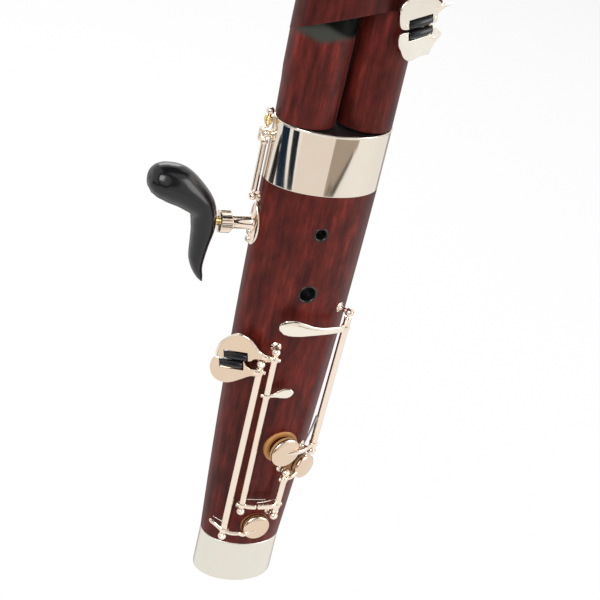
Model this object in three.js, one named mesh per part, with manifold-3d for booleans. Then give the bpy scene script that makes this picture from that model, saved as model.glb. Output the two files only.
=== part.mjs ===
// Quint bassoon: a small bassoon of four joints, with a crook, a reed, keys on pivot posts and a hand rest.
// Millimetres. The origin is the centre of the boot's flat end, +Z runs up the instrument, -Y is the
// finger-hole side, -X carries the wing joint and the hand rest, +X carries the long joint.

import * as THREE from 'three';
import { mergeVertices } from 'three/addons/utils/BufferGeometryUtils.js';
import Module from 'manifold-3d';

const wasm = await Module();
wasm.setup();

// Clearances
const seatGap = 0.3;
const pairGap = 0.9;
const cutOverrun = 4;

// Boot
const bootHeight = 296;
const bandHeight = 35;
const capHeight = 28.5;
const bootTopHalfWidth = 32.5;
const bootTopHalfDepth = 21;
const bootFootHalfWidth = 24;
const bootFootHalfDepth = 16.8;
const bootSwell = 1.5;
const bandWall = 1;
const bandLip = 1.2;
const capWall = 1.2;
const capEdgeRadius = 2.4;

// Bores and the bend in the cap
const boreFootSpread = 9.5;
const wingBoreRadius = 4.6;
const longBoreRadius = 6;
const bendWall = 1;
const bendFloorGap = 1.5;
const bendPlateThickness = 1.5;
const gasketThickness = 1.5;

// Wing joint
const wingFootRadius = 16;
const wingThickRadius = 16.8;
const wingThickRise = 49;
const wingNeckDrop = 44;
const wingTopRadius = 12.6;
const wingLength = 300;
const wingTenonRadius = 11;
const tenonDepth = 34;
const lappingThickness = 1;
const lappingHeight = 24;
const ledgeFootRise = 48.7;
const ledgeRise = 13;
const ledgeTiltDegrees = 22.4;
const wingFlangeDrop = 56;
const wingFlangeDepth = 21;
const wingFlangeReach = 15;
const wingFlangeSkin = 0.25;
const wingFlangeGap = 0.6;
const fingerHoleRadius = 2.6;
const wingRingHeight = 12;
const wingRingWall = 1.1;

// Long joint and bell
const longFootRadius = 15.8;
const longTopRadius = 13.4;
const longLength = 368;
const bellTenonRadius = 11.6;
const bellTenonLength = 22;
const longUpperBoreRadius = 9;
const bellSocketRadius = 15.8;
const bellWaistRadius = 13.6;
const bellWaistShare = 0.21;
const bellBulgeRadius = 17;
const bellBulgeShare = 0.594;
const bellNeckRadius = 14.6;
const bellLength = 229;
const bellRingHeight = 15;
const bellRingRadius = 18;
const bellBoreRadius = 10.4;
const bellBandHeight = 9;
const bellBandWall = 1;

// Crook and reed
const crookRise = 26;
const crookReach = 108;
const crookFootRadius = 4.4;
const crookTipRadius = 2.3;
const crookBoreRadius = 1.5;
const crookFootBoreRadius = 2.4;
const crookCorkRadius = 6;
const crookSocketDepth = 20;
const reedLength = 44;
const reedHalfWidth = 5.6;
const reedTubeRadius = 3;
const reedSocket = 5;

// Hand rest
const handRestDrop = 27;
const handPlateHalfHeight = 12;
const handPlateHalfWidth = 6.4;
const handPlateThickness = 1.4;
const handSocketRadius = 3.9;
const handSocketLength = 13;
const handNutRadius = 6.2;
const handNutWidth = 6.8;
const handStemRadius = 2.2;
const handStemSink = 5;
const crutchHeight = 69;
const crutchReach = 41;
const crutchDepth = 10;
const screwHeadRadius = 1.9;

// Keys in common
const rodRadius = 2;
const rodBoreRadius = 1.3;
const steelRadius = 0.9;
const ballRadius = 2.5;
const pillarRadius = 1.3;
const pillarSink = 1.2;
const postFootRadius = 2.3;
const rodStandOff = 5.6;
const armHalfWidth = 1.5;
const armHalfThickness = 0.9;
const touchHalfThickness = 0.8;
const toneSeatRise = 0.8;
const toneSeatWall = 1.8;
const cupWall = 0.9;
const cupHeight = 2.8;
const cupRecess = 1.2;
const armLift = 0.4;
const plateThickness = 1.4;
const rollerRadius = 2.3;
const rollerLength = 13.8;
const rollerPinRadius = 0.5;
const rollerBoreRadius = 0.85;
const rollerEndRadius = 1.5;

// Front keys of the boot. Rises of the low group stand on the cap, shares divide the bare wood.
const upperHoleShare = 0.9037;
const upperHoleRadius = 3;
const lowerHoleShare = 0.7467;
const lowerHoleRadius = 4.1;
const aFlatFootRise = 8.4;
const aFlatTopRise = 2.8;
const aFlatCupRise = 15.1;
const aFlatCupRadius = 8;
const aFlatPadDrop = 0.8;
const fFootRise = 28.9;
const fTopRise = 12;
const fLeafShare = 0.4731;
const fLeafLength = 14;
const linkRise = 33.3;
const linkHalfWidth = 1.3;
const fCupFootRise = 25.2;
const fCupRodLength = 31.4;
const fCupRise = 57;
const fCupRadius = 7.5;
const fPadDrop = 1.5;
const gFootRise = 68.7;
const gArmRise = 73.8;
const gTopShare = 0.7;
const gStandOff = 7;
const gCupRise = 72;
const gCupRadius = 9.2;
const gPadDrop = 2.2;
const gTouchDrop = 6.3;
const gTouchHalfWidth = 4.9;
const rollerPlateShare = 0.5462;
const rollerPlateReach = 14.4;
const rollerPlateRise = 16.2;
const rollerPitch = 5.1;
const rollerCentreReach = 15.6;

// Left edge of the boot: the lock rod that meets the wing joint
const lockStandOff = 3.2;
const lockFootDrop = 12;
const lockHeadDrop = 10.4;
const lockRodRadius = 1.8;
const lockBarrelRadius = 2.2;
const lockBarrelHeight = 5;
const lockTopRise = 2.5;

// Roller plates of the long joint, at shares of the length of its body
const longPlateShare = 0.1668;
const longPlateStandOff = 4.6;
const longPlateReach = 13;
const longPlateRise = 16.6;
const longPlateShift = 5.2;
const longRollerLength = 14;
const longRollerPitch = 5.7;
const longKeyStandOff = 5;
const cSharpFootShare = 0.1313;
const cSharpTopShare = 0.7554;
const cSharpCupShare = 0.7174;
const cSharpCupRadius = 5.6;
const eFlatFootShare = 0.1821;
const eFlatTopShare = 0.2717;
const eFlatCupShare = 0.2446;
const eFlatCupRadius = 5.4;

const wood = { color: 0x4a1711, roughness: 0.32, metalness: 0 };
const nickel = { color: 0xd9d3c8, roughness: 0.12, metalness: 1 };
const silver = { color: 0xded2c2, roughness: 0.16, metalness: 1 };
const brass = { color: 0xc9a24f, roughness: 0.22, metalness: 1 };
const resin = { color: 0x0b0b0c, roughness: 0.18, metalness: 0 };
const leather = { color: 0xb98a58, roughness: 0.75, metalness: 0 };
const cork = { color: 0xb88d5c, roughness: 0.9, metalness: 0 };
const cane = { color: 0xcfb069, roughness: 0.6, metalness: 0 };
const thread = { color: 0x7a1f22, roughness: 0.8, metalness: 0 };
const ivory = { color: 0xe9e3d3, roughness: 0.35, metalness: 0 };

const group = new THREE.Group();

// Solids

function solidOf(geometry) {
  const bare = geometry.index ? geometry.toNonIndexed() : geometry.clone();
  bare.deleteAttribute('normal');
  bare.deleteAttribute('uv');
  const merged = mergeVertices(bare);
  return new wasm.Manifold(
    new wasm.Mesh({
      numProp: 3,
      vertProperties: new Float32Array(merged.attributes.position.array),
      triVerts: new Uint32Array(merged.index.array),
    }),
  );
}

function geometryOf(solid) {
  const mesh = solid.getMesh();
  const points = new Float32Array((mesh.vertProperties.length / mesh.numProp) * 3);
  for (let i = 0; i < points.length / 3; i += 1) {
    for (let k = 0; k < 3; k += 1) {
      points[i * 3 + k] = mesh.vertProperties[i * mesh.numProp + k];
    }
  }
  const geometry = new THREE.BufferGeometry();
  geometry.setAttribute('position', new THREE.BufferAttribute(points, 3));
  geometry.setIndex(new THREE.BufferAttribute(new Uint32Array(mesh.triVerts), 1));
  return geometry;
}

function union(...solids) {
  return solids.flat().reduce((whole, piece) => whole.add(piece));
}

function cut(solid, ...tools) {
  return tools.flat().reduce((rest, tool) => rest.subtract(tool), solid);
}

function addNode(name, solid, look, hinge = null) {
  const material = new THREE.MeshStandardMaterial(look);
  const mesh = new THREE.Mesh(geometryOf(solid), material);
  mesh.name = name;
  if (hinge) {
    mesh.userData.hinge = hinge;
  }
  group.add(mesh);
  return mesh;
}

function vec(x, y, z) {
  return new THREE.Vector3(x, y, z);
}

// A closed skin through rings that all have the same number of points
function loft(rings) {
  const count = rings[0].length;
  const points = rings.flat().flatMap((p) => [p.x, p.y, p.z]);
  const index = [];
  for (let r = 0; r < rings.length - 1; r += 1) {
    for (let i = 0; i < count; i += 1) {
      const a = r * count + i;
      const b = r * count + ((i + 1) % count);
      index.push(a, b, b + count, a, b + count, a + count);
    }
  }
  const ends = [[0, true], [rings.length - 1, false]];
  ends.forEach(([r, first]) => {
    const middle = rings[r].reduce((sum, p) => sum.add(p), vec(0, 0, 0)).divideScalar(count);
    const centre = points.length / 3;
    points.push(middle.x, middle.y, middle.z);
    for (let i = 0; i < count; i += 1) {
      const a = r * count + i;
      const b = r * count + ((i + 1) % count);
      index.push(...(first ? [centre, b, a] : [centre, a, b]));
    }
  });
  const geometry = new THREE.BufferGeometry();
  geometry.setAttribute('position', new THREE.Float32BufferAttribute(points, 3));
  geometry.setIndex(index);
  return solidOf(geometry);
}

function ellipseRing(centreX, halfWidth, halfDepth, z, sides) {
  return Array.from({ length: sides }, (_, i) => {
    const angle = (2 * Math.PI * i) / sides;
    return vec(centreX + halfWidth * Math.cos(angle), halfDepth * Math.sin(angle), z);
  });
}

function ovalRing(centre, side, over, halfSide, halfOver, sides) {
  return Array.from({ length: sides }, (_, i) => {
    const angle = (2 * Math.PI * i) / sides;
    return centre.clone()
      .addScaledVector(side, halfSide * Math.cos(angle))
      .addScaledVector(over, halfOver * Math.sin(angle));
  });
}

function basisAlong(direction, up = vec(0, 0, 1)) {
  const along = direction.clone().normalize();
  const hint = Math.abs(along.dot(up)) > 0.95 ? vec(1, 0, 0) : up;
  const side = hint.clone().cross(along).normalize();
  return { along, side, over: along.clone().cross(side) };
}

function bar(start, end, radius, sides, endRadius = radius) {
  const { side, over } = basisAlong(end.clone().sub(start));
  const ring = (centre, r) => ovalRing(centre, side, over, r, r, sides);
  return loft([ring(start, radius), ring(end, endRadius)]);
}

function ball(centre, radius) {
  const geometry = new THREE.SphereGeometry(radius, 10, 6);
  geometry.translate(centre.x, centre.y, centre.z);
  return solidOf(geometry);
}

// A lathe profile of [radius, height] pairs turned about the line from origin along direction
function turned(profile, origin, direction, sides) {
  const outline = profile.map(([radius, height]) => new THREE.Vector2(radius, height));
  const geometry = new THREE.LatheGeometry(outline, sides);
  const turn = new THREE.Quaternion().setFromUnitVectors(vec(0, 1, 0), direction.clone().normalize());
  geometry.applyQuaternion(turn);
  geometry.translate(origin.x, origin.y, origin.z);
  return solidOf(geometry);
}

// A plain ring between two radii, from low to high along direction
function sleeve(inner, outer, low, high, origin, direction, sides) {
  const profile = [[inner, low], [outer, low], [outer, high], [inner, high], [inner, low]];
  return turned(profile, origin, direction, sides);
}

// A flat strip with softened edges through points, each with its half width and half thickness.
// The face of the strip looks along out.
function strip(stations, out) {
  const rings = stations.map((station, i) => {
    const before = stations[Math.max(i - 1, 0)].at;
    const after = stations[Math.min(i + 1, stations.length - 1)].at;
    const along = after.clone().sub(before).normalize();
    const face = (station.out ?? out).clone();
    face.addScaledVector(along, -face.dot(along)).normalize();
    const side = along.clone().cross(face);
    const corners = [[1, 0], [0.7, 1], [-0.7, 1], [-1, 0], [-0.7, -1], [0.7, -1]];
    return corners.map(([w, t]) => station.at.clone()
      .addScaledVector(side, -w * station.wide)
      .addScaledVector(face, t * station.thick));
  });
  return loft(rings);
}

// An outline of [p, q] pairs, extruded by thickness about its middle, laid on a plane
function plate(outline, thickness, origin, pAxis, qAxis) {
  const shape = new THREE.Shape(outline.map(([p, q]) => new THREE.Vector2(p, q)));
  const geometry = new THREE.ExtrudeGeometry(shape, { depth: thickness, bevelEnabled: false });
  geometry.translate(0, 0, -thickness / 2);
  const basis = new THREE.Matrix4().makeBasis(pAxis, qAxis, pAxis.clone().cross(qAxis));
  geometry.applyMatrix4(basis);
  geometry.translate(origin.x, origin.y, origin.z);
  return solidOf(geometry);
}

function smoothOutline(points, steps) {
  const curve = new THREE.CatmullRomCurve3(points.map(([p, q]) => vec(p, q, 0)), true);
  return curve.getPoints(steps).slice(0, steps).map((p) => [p.x, p.y]);
}

function turnAbout(solid, hinge, degrees) {
  const shift = new THREE.Matrix4().makeTranslation(-hinge.at.x, -hinge.at.y, -hinge.at.z);
  const turn = new THREE.Matrix4().makeRotationAxis(hinge.axis, THREE.MathUtils.degToRad(degrees));
  const back = shift.clone().invert();
  const whole = back.multiply(turn).multiply(shift);
  const geometry = geometryOf(solid);
  geometry.applyMatrix4(whole);
  return solidOf(geometry);
}

// Hosts: a surface that carries keys, addressed by an angle from +X towards +Y, and a height

function lerp(a, b, share) {
  return a + (b - a) * Math.min(Math.max(share, 0), 1);
}

const zAxis = vec(0, 0, 1);
const woodFoot = capHeight;
const woodTop = bootHeight - bandHeight;
const shoulderHeight = bootHeight + seatGap;
const wingAxisX = -(pairGap / 2 + wingFootRadius);
const wingTopHeight = bootHeight + wingLength;
const wingThickHeight = bootHeight + wingThickRise;
const wingNeckHeight = wingTopHeight - wingNeckDrop;
const wingFlangeTop = wingTopHeight - wingFlangeDrop;
const wingShoulderHeight = wingFlangeTop - wingFlangeDepth;
const ledgeLeftHeight = bootHeight + ledgeFootRise;
const longAxisX = pairGap / 2 + longFootRadius;
const longShoulderHeight = bootHeight + longLength;
const bellWaistHeight = longShoulderHeight + bellLength * bellWaistShare;
const bellBulgeHeight = longShoulderHeight + bellLength * bellBulgeShare;
const bellTopHeight = longShoulderHeight + bellLength;
const bellRingFoot = bellTopHeight - bellRingHeight;

const bootUp = (share) => lerp(woodFoot, woodTop, share);
const longUp = (share) => lerp(bootHeight, longShoulderHeight, share);
const upperHoleHeight = bootUp(upperHoleShare);
const lowerHoleHeight = bootUp(lowerHoleShare);
const rollerPlateHeight = bootUp(rollerPlateShare);
const aFlatBallLow = woodFoot + aFlatFootRise;
const aFlatBallHigh = rollerPlateHeight + aFlatTopRise;
const aFlatCupHeight = woodFoot + aFlatCupRise;
const fBallLow = woodFoot + fFootRise;
const fBallHigh = rollerPlateHeight + fTopRise;
const fLeafHeight = bootUp(fLeafShare);
const linkHeight = woodFoot + linkRise;
const fCupBallLow = woodFoot + fCupFootRise;
const fCupBallHigh = fCupBallLow + fCupRodLength;
const fCupHeight = woodFoot + fCupRise;
const gBallLow = woodFoot + gFootRise;
const gArmHeight = woodFoot + gArmRise;
const gBallHigh = bootUp(gTopShare);
const gCupHeight = woodFoot + gCupRise;
const gTouchHeight = gBallHigh - gTouchDrop;
const handRestHeight = woodTop - handRestDrop;
const lockBallLow = woodTop - lockFootDrop;
const lockBallHigh = bootHeight - lockHeadDrop;
const lockTopHeight = bootHeight + lockTopRise;
const longPlateHeight = longUp(longPlateShare);

function bootHalf(z) {
  const share = (z - woodFoot) / (woodTop - woodFoot);
  const swell = Math.max(0, 4 * bootSwell * share * (1 - share));
  return {
    width: lerp(bootFootHalfWidth, bootTopHalfWidth, share) + swell,
    depth: lerp(bootFootHalfDepth, bootTopHalfDepth, share) + swell,
  };
}

function longRadius(z) {
  return lerp(longFootRadius, longTopRadius, (z - bootHeight) / (longShoulderHeight - bootHeight));
}

function wingRadius(z) {
  if (z < wingThickHeight) {
    const share = (z - shoulderHeight) / (wingThickHeight - shoulderHeight);
    return lerp(wingFootRadius, wingThickRadius, share);
  }
  const share = (z - wingShoulderHeight) / (wingNeckHeight - wingShoulderHeight);
  return lerp(wingThickRadius, wingTopRadius, share);
}

function wingCentre(z) {
  const radius = wingRadius(z);
  return radius > wingFootRadius ? -(pairGap / 2 + radius) : wingAxisX;
}

function hostOf(centreAt, halfAt, grown) {
  const at = (degrees, z, out = 0) => {
    const angle = THREE.MathUtils.degToRad(degrees);
    const half = halfAt(z);
    const normal = vec(Math.cos(angle) / half.width, Math.sin(angle) / half.depth, 0).normalize();
    return vec(centreAt(z) + half.width * Math.cos(angle), half.depth * Math.sin(angle), z)
      .addScaledVector(normal, out);
  };
  const normal = (degrees, z) => at(degrees, z, 1).sub(at(degrees, z, 0));
  return { at, normal, grown };
}

const ringSides = 32;
const tubeSides = 24;

const swellShares = [0.1, 0.2, 0.35, 0.5, 0.65, 0.8, 0.9];

function grownBoot(grow) {
  const levels = [0, woodFoot, ...swellShares.map(bootUp), woodTop, bootHeight];
  const rings = levels.map((z) => {
    const half = bootHalf(z);
    return ellipseRing(0, half.width + grow, half.depth + grow, z, ringSides);
  });
  return loft(rings);
}

function grownLong(grow) {
  const levels = [bootHeight, longShoulderHeight];
  return loft(levels.map((z) => {
    const radius = longRadius(z) + grow;
    return ellipseRing(longAxisX, radius, radius, z, tubeSides);
  }));
}

function wingTube(grow) {
  const levels = [shoulderHeight, wingThickHeight, wingShoulderHeight, wingNeckHeight, wingTopHeight];
  return loft(levels.map((z) => {
    const radius = wingRadius(z) + grow;
    return ellipseRing(wingCentre(z), radius, radius, z, tubeSides);
  }));
}

function bellRadius(z) {
  const share = (z - bellWaistHeight) / (bellBulgeHeight - bellWaistHeight);
  return lerp(bellWaistRadius, bellBulgeRadius, share);
}

function grownBell(grow) {
  const levels = [bellWaistHeight, bellBulgeHeight];
  return loft(levels.map((z) => {
    const radius = bellRadius(z) + grow;
    return ellipseRing(longAxisX, radius, radius, z, tubeSides);
  }));
}

function circleHalf(radiusAt) {
  return (z) => ({ width: radiusAt(z), depth: radiusAt(z) });
}

const bootHost = hostOf(() => 0, bootHalf, grownBoot(seatGap));
const wingGrown = wingTube(seatGap + wingFlangeSkin);
const wingHost = hostOf(wingCentre, circleHalf(wingRadius), wingGrown);
const longHost = hostOf(() => longAxisX, circleHalf(longRadius), grownLong(seatGap));
const bellHost = hostOf(() => longAxisX, circleHalf(bellRadius), grownBell(seatGap));

// Tone holes: where each opens, its radius, and the bore it leads to

const bendBoreRadius = longBoreRadius;
const bendOuterRadius = bendBoreRadius + bendWall;
const bendCentreZ = capWall + bendFloorGap + bendOuterRadius + boreFootSpread;
const bendPlateLow = bendCentreZ + seatGap;
const bendPlateTop = bendPlateLow + bendPlateThickness;
const gasketTop = bendPlateTop + seatGap + gasketThickness;
const bootFootZ = gasketTop + seatGap;
const socketFloor = bootHeight - bandLip - tenonDepth;
const socketRadius = wingTenonRadius + lappingThickness;
const holeOverrun = cutOverrun;

function bootBoreX(side, z) {
  const axisX = side < 0 ? wingAxisX : longAxisX;
  return lerp(side * boreFootSpread, axisX, (z - bootFootZ) / (socketFloor - bootFootZ));
}

function holeTool(host, degrees, z, radius, innerX, sides = 8) {
  const mouth = host.at(degrees, z);
  const inner = vec(innerX, 0, z);
  const outward = mouth.clone().sub(inner).normalize();
  return bar(inner, mouth.clone().addScaledVector(outward, holeOverrun), radius, sides);
}

function toneSeat(host, degrees, z, radius) {
  const foot = host.at(degrees, z, -toneSeatRise - pillarSink);
  const face = host.at(degrees, z, toneSeatRise);
  return bar(foot, face, radius, 10);
}

// Boot

function bootBody(holes, seats) {
  const inCap = capWall + seatGap;
  const inBand = bandWall + seatGap;
  const ring = (z, recess) => {
    const half = bootHalf(z);
    return ellipseRing(0, half.width - recess, half.depth - recess, z, ringSides);
  };
  const outer = loft([
    ring(bootFootZ, inCap),
    ring(capHeight + seatGap, inCap),
    ring(capHeight + seatGap, 0),
    ...swellShares.map((share) => ring(bootUp(share), 0)),
    ring(woodTop - seatGap, 0),
    ring(woodTop - seatGap, inBand),
    ring(bootHeight - bandLip, inBand),
  ]);
  const boreOf = (side, radius, axisX) => {
    const footX = side * boreFootSpread;
    return [
      bar(vec(footX, 0, bootFootZ - cutOverrun), vec(footX, 0, bootFootZ), radius, 10),
      bar(vec(footX, 0, bootFootZ), vec(axisX, 0, socketFloor), radius, 10),
      bar(vec(axisX, 0, socketFloor), vec(axisX, 0, bootHeight), socketRadius + seatGap, 16),
    ];
  };
  const wingBore = boreOf(-1, wingBoreRadius, wingAxisX);
  const longBore = boreOf(1, longBoreRadius, longAxisX);
  return cut(union(outer, seats), union(wingBore, longBore), holes);
}

function bootBand() {
  const half = bootHalf(woodTop);
  const skin = (recess, from, to) => loft([from, to].map((z) => (
    ellipseRing(0, half.width - recess, half.depth - recess, z, ringSides)
  )));
  const inside = skin(bandWall, woodTop - cutOverrun, bootHeight + cutOverrun);
  return cut(skin(0, woodTop, bootHeight), inside);
}

function bootCap() {
  const half = bootHalf(0);
  const ring = (recess, z) => ellipseRing(0, half.width - recess, half.depth - recess, z, ringSides);
  const edgeShares = [0, 0.3, 0.7, 1];
  const edge = edgeShares.map((share) => {
    const angle = (share * Math.PI) / 2;
    return ring(capEdgeRadius * (1 - Math.sin(angle)), capEdgeRadius * (1 - Math.cos(angle)));
  });
  const outer = loft([...edge, ring(0, capHeight)]);
  return cut(outer, loft([ring(capWall, capWall), ring(capWall, capHeight + cutOverrun)]));
}

function bendPath(z) {
  const path = new THREE.CurvePath();
  path.add(new THREE.LineCurve3(vec(-boreFootSpread, 0, z), vec(-boreFootSpread, 0, bendCentreZ)));
  const arc = Array.from({ length: 7 }, (_, i) => {
    const angle = Math.PI + (Math.PI * i) / 6;
    return vec(boreFootSpread * Math.cos(angle), 0, bendCentreZ + boreFootSpread * Math.sin(angle));
  });
  for (let i = 0; i < arc.length - 1; i += 1) {
    path.add(new THREE.LineCurve3(arc[i], arc[i + 1]));
  }
  path.add(new THREE.LineCurve3(vec(boreFootSpread, 0, bendCentreZ), vec(boreFootSpread, 0, z)));
  return path.curves.map((piece) => piece.v1).concat(path.curves[path.curves.length - 1].v2);
}

function bendTube(radius, topZ) {
  const points = bendPath(topZ);
  const rings = points.map((point, i) => {
    const before = points[Math.max(i - 1, 0)];
    const after = points[Math.min(i + 1, points.length - 1)];
    const along = after.clone().sub(before).normalize();
    const side = vec(0, 1, 0);
    const over = along.clone().cross(side);
    return ovalRing(point, side, over, radius, radius, 8);
  });
  return loft(rings);
}

function ovalPlate(z, thickness) {
  const half = bootHalf(0);
  const recess = capWall + 2 * seatGap;
  return loft([z, z + thickness].map((level) => (
    ellipseRing(0, half.width - recess, half.depth - recess, level, ringSides)
  )));
}

function bendPiece() {
  const flange = ovalPlate(bendPlateLow, bendPlateThickness);
  const outer = union(flange, bendTube(bendOuterRadius, bendPlateLow + bendPlateThickness / 2));
  return cut(outer, bendTube(bendBoreRadius, bendPlateTop + cutOverrun));
}

function bendGasket() {
  const z = bendPlateTop + seatGap;
  const holes = [-boreFootSpread, boreFootSpread].map((x) => (
    bar(vec(x, 0, z - cutOverrun), vec(x, 0, z + cutOverrun), bendBoreRadius, 12)
  ));
  return cut(ovalPlate(z, gasketThickness), holes);
}

function tenonLapping(axisX, tenonRadius, topZ) {
  const outer = tenonRadius + lappingThickness - seatGap / 2;
  const inner = tenonRadius + seatGap / 2;
  const low = topZ - lappingHeight;
  return sleeve(inner, outer, 0, lappingHeight, vec(axisX, 0, low), zAxis, 20);
}

// Wing joint

// The thick middle of the wing joint: round behind, and drawn out in front over the long joint.
// Its outline is given by angles round the tube, with shares of the tube's radius, and by shares of
// the reach and depth of the front.
const flangeBackDegrees = [180, 160, 140, 120, 100, 80, 60, 40, 20];
const flangeLeftShares = [[270, 1.185], [255, 1.14], [240, 1.08], [220, 1.03], [200, 1.005]];
const flangeEdgeShares = [[0.7, -0.28], [0.97, -0.5], [1, -0.66], [0.95, -0.77], [0.84, -0.83],
  [0.66, -0.91], [0.48, -0.975], [0.25, -1]];
const flangeTopShare = 0.6;

function wingFlange() {
  const centre = wingCentre(wingThickHeight);
  const radius = wingThickRadius + wingFlangeSkin;
  const polar = ([degrees, share]) => {
    const angle = THREE.MathUtils.degToRad(degrees);
    return [centre + radius * share * Math.cos(angle), radius * share * Math.sin(angle)];
  };
  const span = wingFlangeReach - centre;
  const back = flangeBackDegrees.map((degrees) => polar([degrees, 1]));
  const edge = flangeEdgeShares.map(([u, v]) => [centre + u * span, v * wingFlangeDepth]);
  const outline = [...back, ...edge, ...flangeLeftShares.map(polar)];
  const section = (z, share) => (
    outline.map(([x, y]) => vec(lerp(centre, x, share), y * share, z)).reverse()
  );
  const low = ledgeLeftHeight - ledgeRise;
  const body = loft([
    section(low, 1),
    section(wingShoulderHeight, 1),
    section(wingFlangeTop, flangeTopShare),
  ]);
  const slope = Math.atan2(ledgeRise, span + radius);
  const wedge = new THREE.BoxGeometry(span * 4, wingFlangeDepth * 4, ledgeRise * 4);
  wedge.translate(0, 0, -ledgeRise * 2);
  wedge.rotateX(-THREE.MathUtils.degToRad(ledgeTiltDegrees));
  wedge.rotateY(-slope);
  wedge.translate(centre - radius, 0, ledgeLeftHeight);
  return cut(body, solidOf(wedge), grownLong(wingFlangeGap));
}

const wingHoleShares = [0.24, 0.47, 0.72];
const wingHoleDegrees = -65.9;
const wingHoleClimbShare = 0.12;

function wingHoles() {
  const angle = THREE.MathUtils.degToRad(wingHoleDegrees);
  const outward = vec(Math.cos(angle), Math.sin(angle), wingHoleClimbShare).normalize();
  return wingHoleShares.map((share) => {
    const inner = vec(wingAxisX, 0, lerp(ledgeLeftHeight, wingFlangeTop, share));
    const mouth = inner.clone().addScaledVector(outward, wingFlangeDepth * 2);
    return bar(inner, mouth, fingerHoleRadius, 8);
  });
}

function wingJoint(holes, seats) {
  const axis = (z) => vec(wingAxisX, 0, z);
  const topAxis = (z) => vec(wingCentre(wingTopHeight), 0, z);
  const above = wingTopHeight + cutOverrun;
  const tenonFoot = socketFloor + seatGap;
  const tenon = bar(axis(tenonFoot), axis(shoulderHeight + seatGap), wingTenonRadius, 16);
  const body = union(wingTube(0), tenon, wingFlange(), seats);
  const bore = bar(axis(socketFloor - cutOverrun), axis(wingTopHeight), wingBoreRadius, 10);
  const socketFoot = topAxis(wingTopHeight - crookSocketDepth);
  const socket = bar(socketFoot, topAxis(above), crookCorkRadius + seatGap, 16);
  const ringFoot = wingTopHeight - wingRingHeight;
  const neckRadius = wingTopRadius - wingRingWall - seatGap;
  const ringSeat = cut(
    bar(topAxis(ringFoot), topAxis(above), wingThickRadius, 24),
    bar(topAxis(ringFoot - cutOverrun), topAxis(above), neckRadius, 24),
  );
  return cut(body, bore, socket, ringSeat, wingHoles(), holes);
}

function wingRing() {
  const foot = vec(wingCentre(wingTopHeight), 0, wingTopHeight - wingRingHeight);
  const inner = wingTopRadius - wingRingWall;
  return sleeve(inner, wingTopRadius, seatGap, wingRingHeight, foot, zAxis, 24);
}

// Long joint and bell

function longJoint(holes, seats) {
  const foot = socketFloor + seatGap;
  const top = longShoulderHeight + bellTenonLength;
  const axis = (z) => vec(longAxisX, 0, z);
  const body = union(
    loft([shoulderHeight, longShoulderHeight].map((z) => (
      ellipseRing(longAxisX, longRadius(z), longRadius(z), z, tubeSides)
    ))),
    bar(axis(foot), axis(shoulderHeight + seatGap), wingTenonRadius, 16),
    bar(axis(longShoulderHeight - seatGap), axis(top), bellTenonRadius, 16),
    seats,
  );
  const below = axis(foot - cutOverrun);
  const bore = bar(below, axis(top + cutOverrun), longBoreRadius, 10, longUpperBoreRadius);
  return cut(body, bore, holes);
}

const bellFloor = longShoulderHeight + seatGap;
const bellSocketTop = longShoulderHeight + bellTenonLength + seatGap;
const bellTaperShare = 0.45;

function bellJoint(holes, seats) {
  const bandSeat = bellSocketRadius - bellBandWall - seatGap;
  const socket = bellTenonRadius + lappingThickness + seatGap;
  const profile = [
    [socket, bellFloor],
    [bandSeat, bellFloor],
    [bandSeat, bellFloor + bellBandHeight],
    [bellSocketRadius, bellFloor + bellBandHeight],
    [bellSocketRadius, bellSocketTop],
    [bellWaistRadius, bellWaistHeight],
    [(bellWaistRadius + bellBulgeRadius) / 2, (bellWaistHeight + bellBulgeHeight) / 2],
    [bellBulgeRadius, bellBulgeHeight],
    [lerp(bellBulgeRadius, bellNeckRadius, bellTaperShare), (bellBulgeHeight + bellRingFoot) / 2],
    [bellNeckRadius, bellRingFoot - seatGap],
    [bellBoreRadius, bellRingFoot - seatGap],
    [bellBoreRadius, bellSocketTop],
    [socket, bellSocketTop],
    [socket, bellFloor],
  ];
  const body = turned(profile, vec(longAxisX, 0, 0), zAxis, tubeSides);
  return cut(union(body, seats), holes);
}

function bellBand() {
  const inner = bellSocketRadius - bellBandWall;
  const top = bellBandHeight - seatGap;
  return sleeve(inner, bellSocketRadius, 0, top, vec(longAxisX, 0, bellFloor), zAxis, tubeSides);
}

// The ring's rim in shares of its radius and height, and its mouth in shares of the bore's radius
const ringRimShares = [[0.93, 0.45], [1, 0.7], [1, 0.88], [0.95, 1]];
const ringMouthShares = [[1.12, 1], [1, 0.8]];
const ringNeckShare = 0.25;

function bellRing() {
  const h = bellRingHeight;
  const profile = [
    [bellBoreRadius, 0],
    [bellNeckRadius, 0],
    [bellNeckRadius, h * ringNeckShare],
    ...ringRimShares.map(([r, t]) => [bellRingRadius * r, h * t]),
    ...ringMouthShares.map(([r, t]) => [bellBoreRadius * r, h * t]),
    [bellBoreRadius, 0],
  ];
  return turned(profile, vec(longAxisX, 0, bellRingFoot), zAxis, tubeSides);
}

// Crook and reed

const crookX = wingCentre(wingTopHeight);
const crookFootZ = wingTopHeight - crookSocketDepth + seatGap;
// The crook's bend: shares of its reach to the left and backward, and of its rise
const crookBendShares = [[0, 0, 1], [0.02, 0.13, 1.9], [0.06, 0.42, 2.35], [0.1, 0.74, 2.05],
  [0.13, 1, 1.6]];
const crookCurve = new THREE.CatmullRomCurve3([
  vec(crookX, 0, crookFootZ),
  vec(crookX, 0, wingTopHeight),
  ...crookBendShares.map(([left, back, rise]) => (
    vec(crookX - crookReach * left, crookReach * back, wingTopHeight + crookRise * rise)
  )),
]);
const crookSteps = 15;

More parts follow.
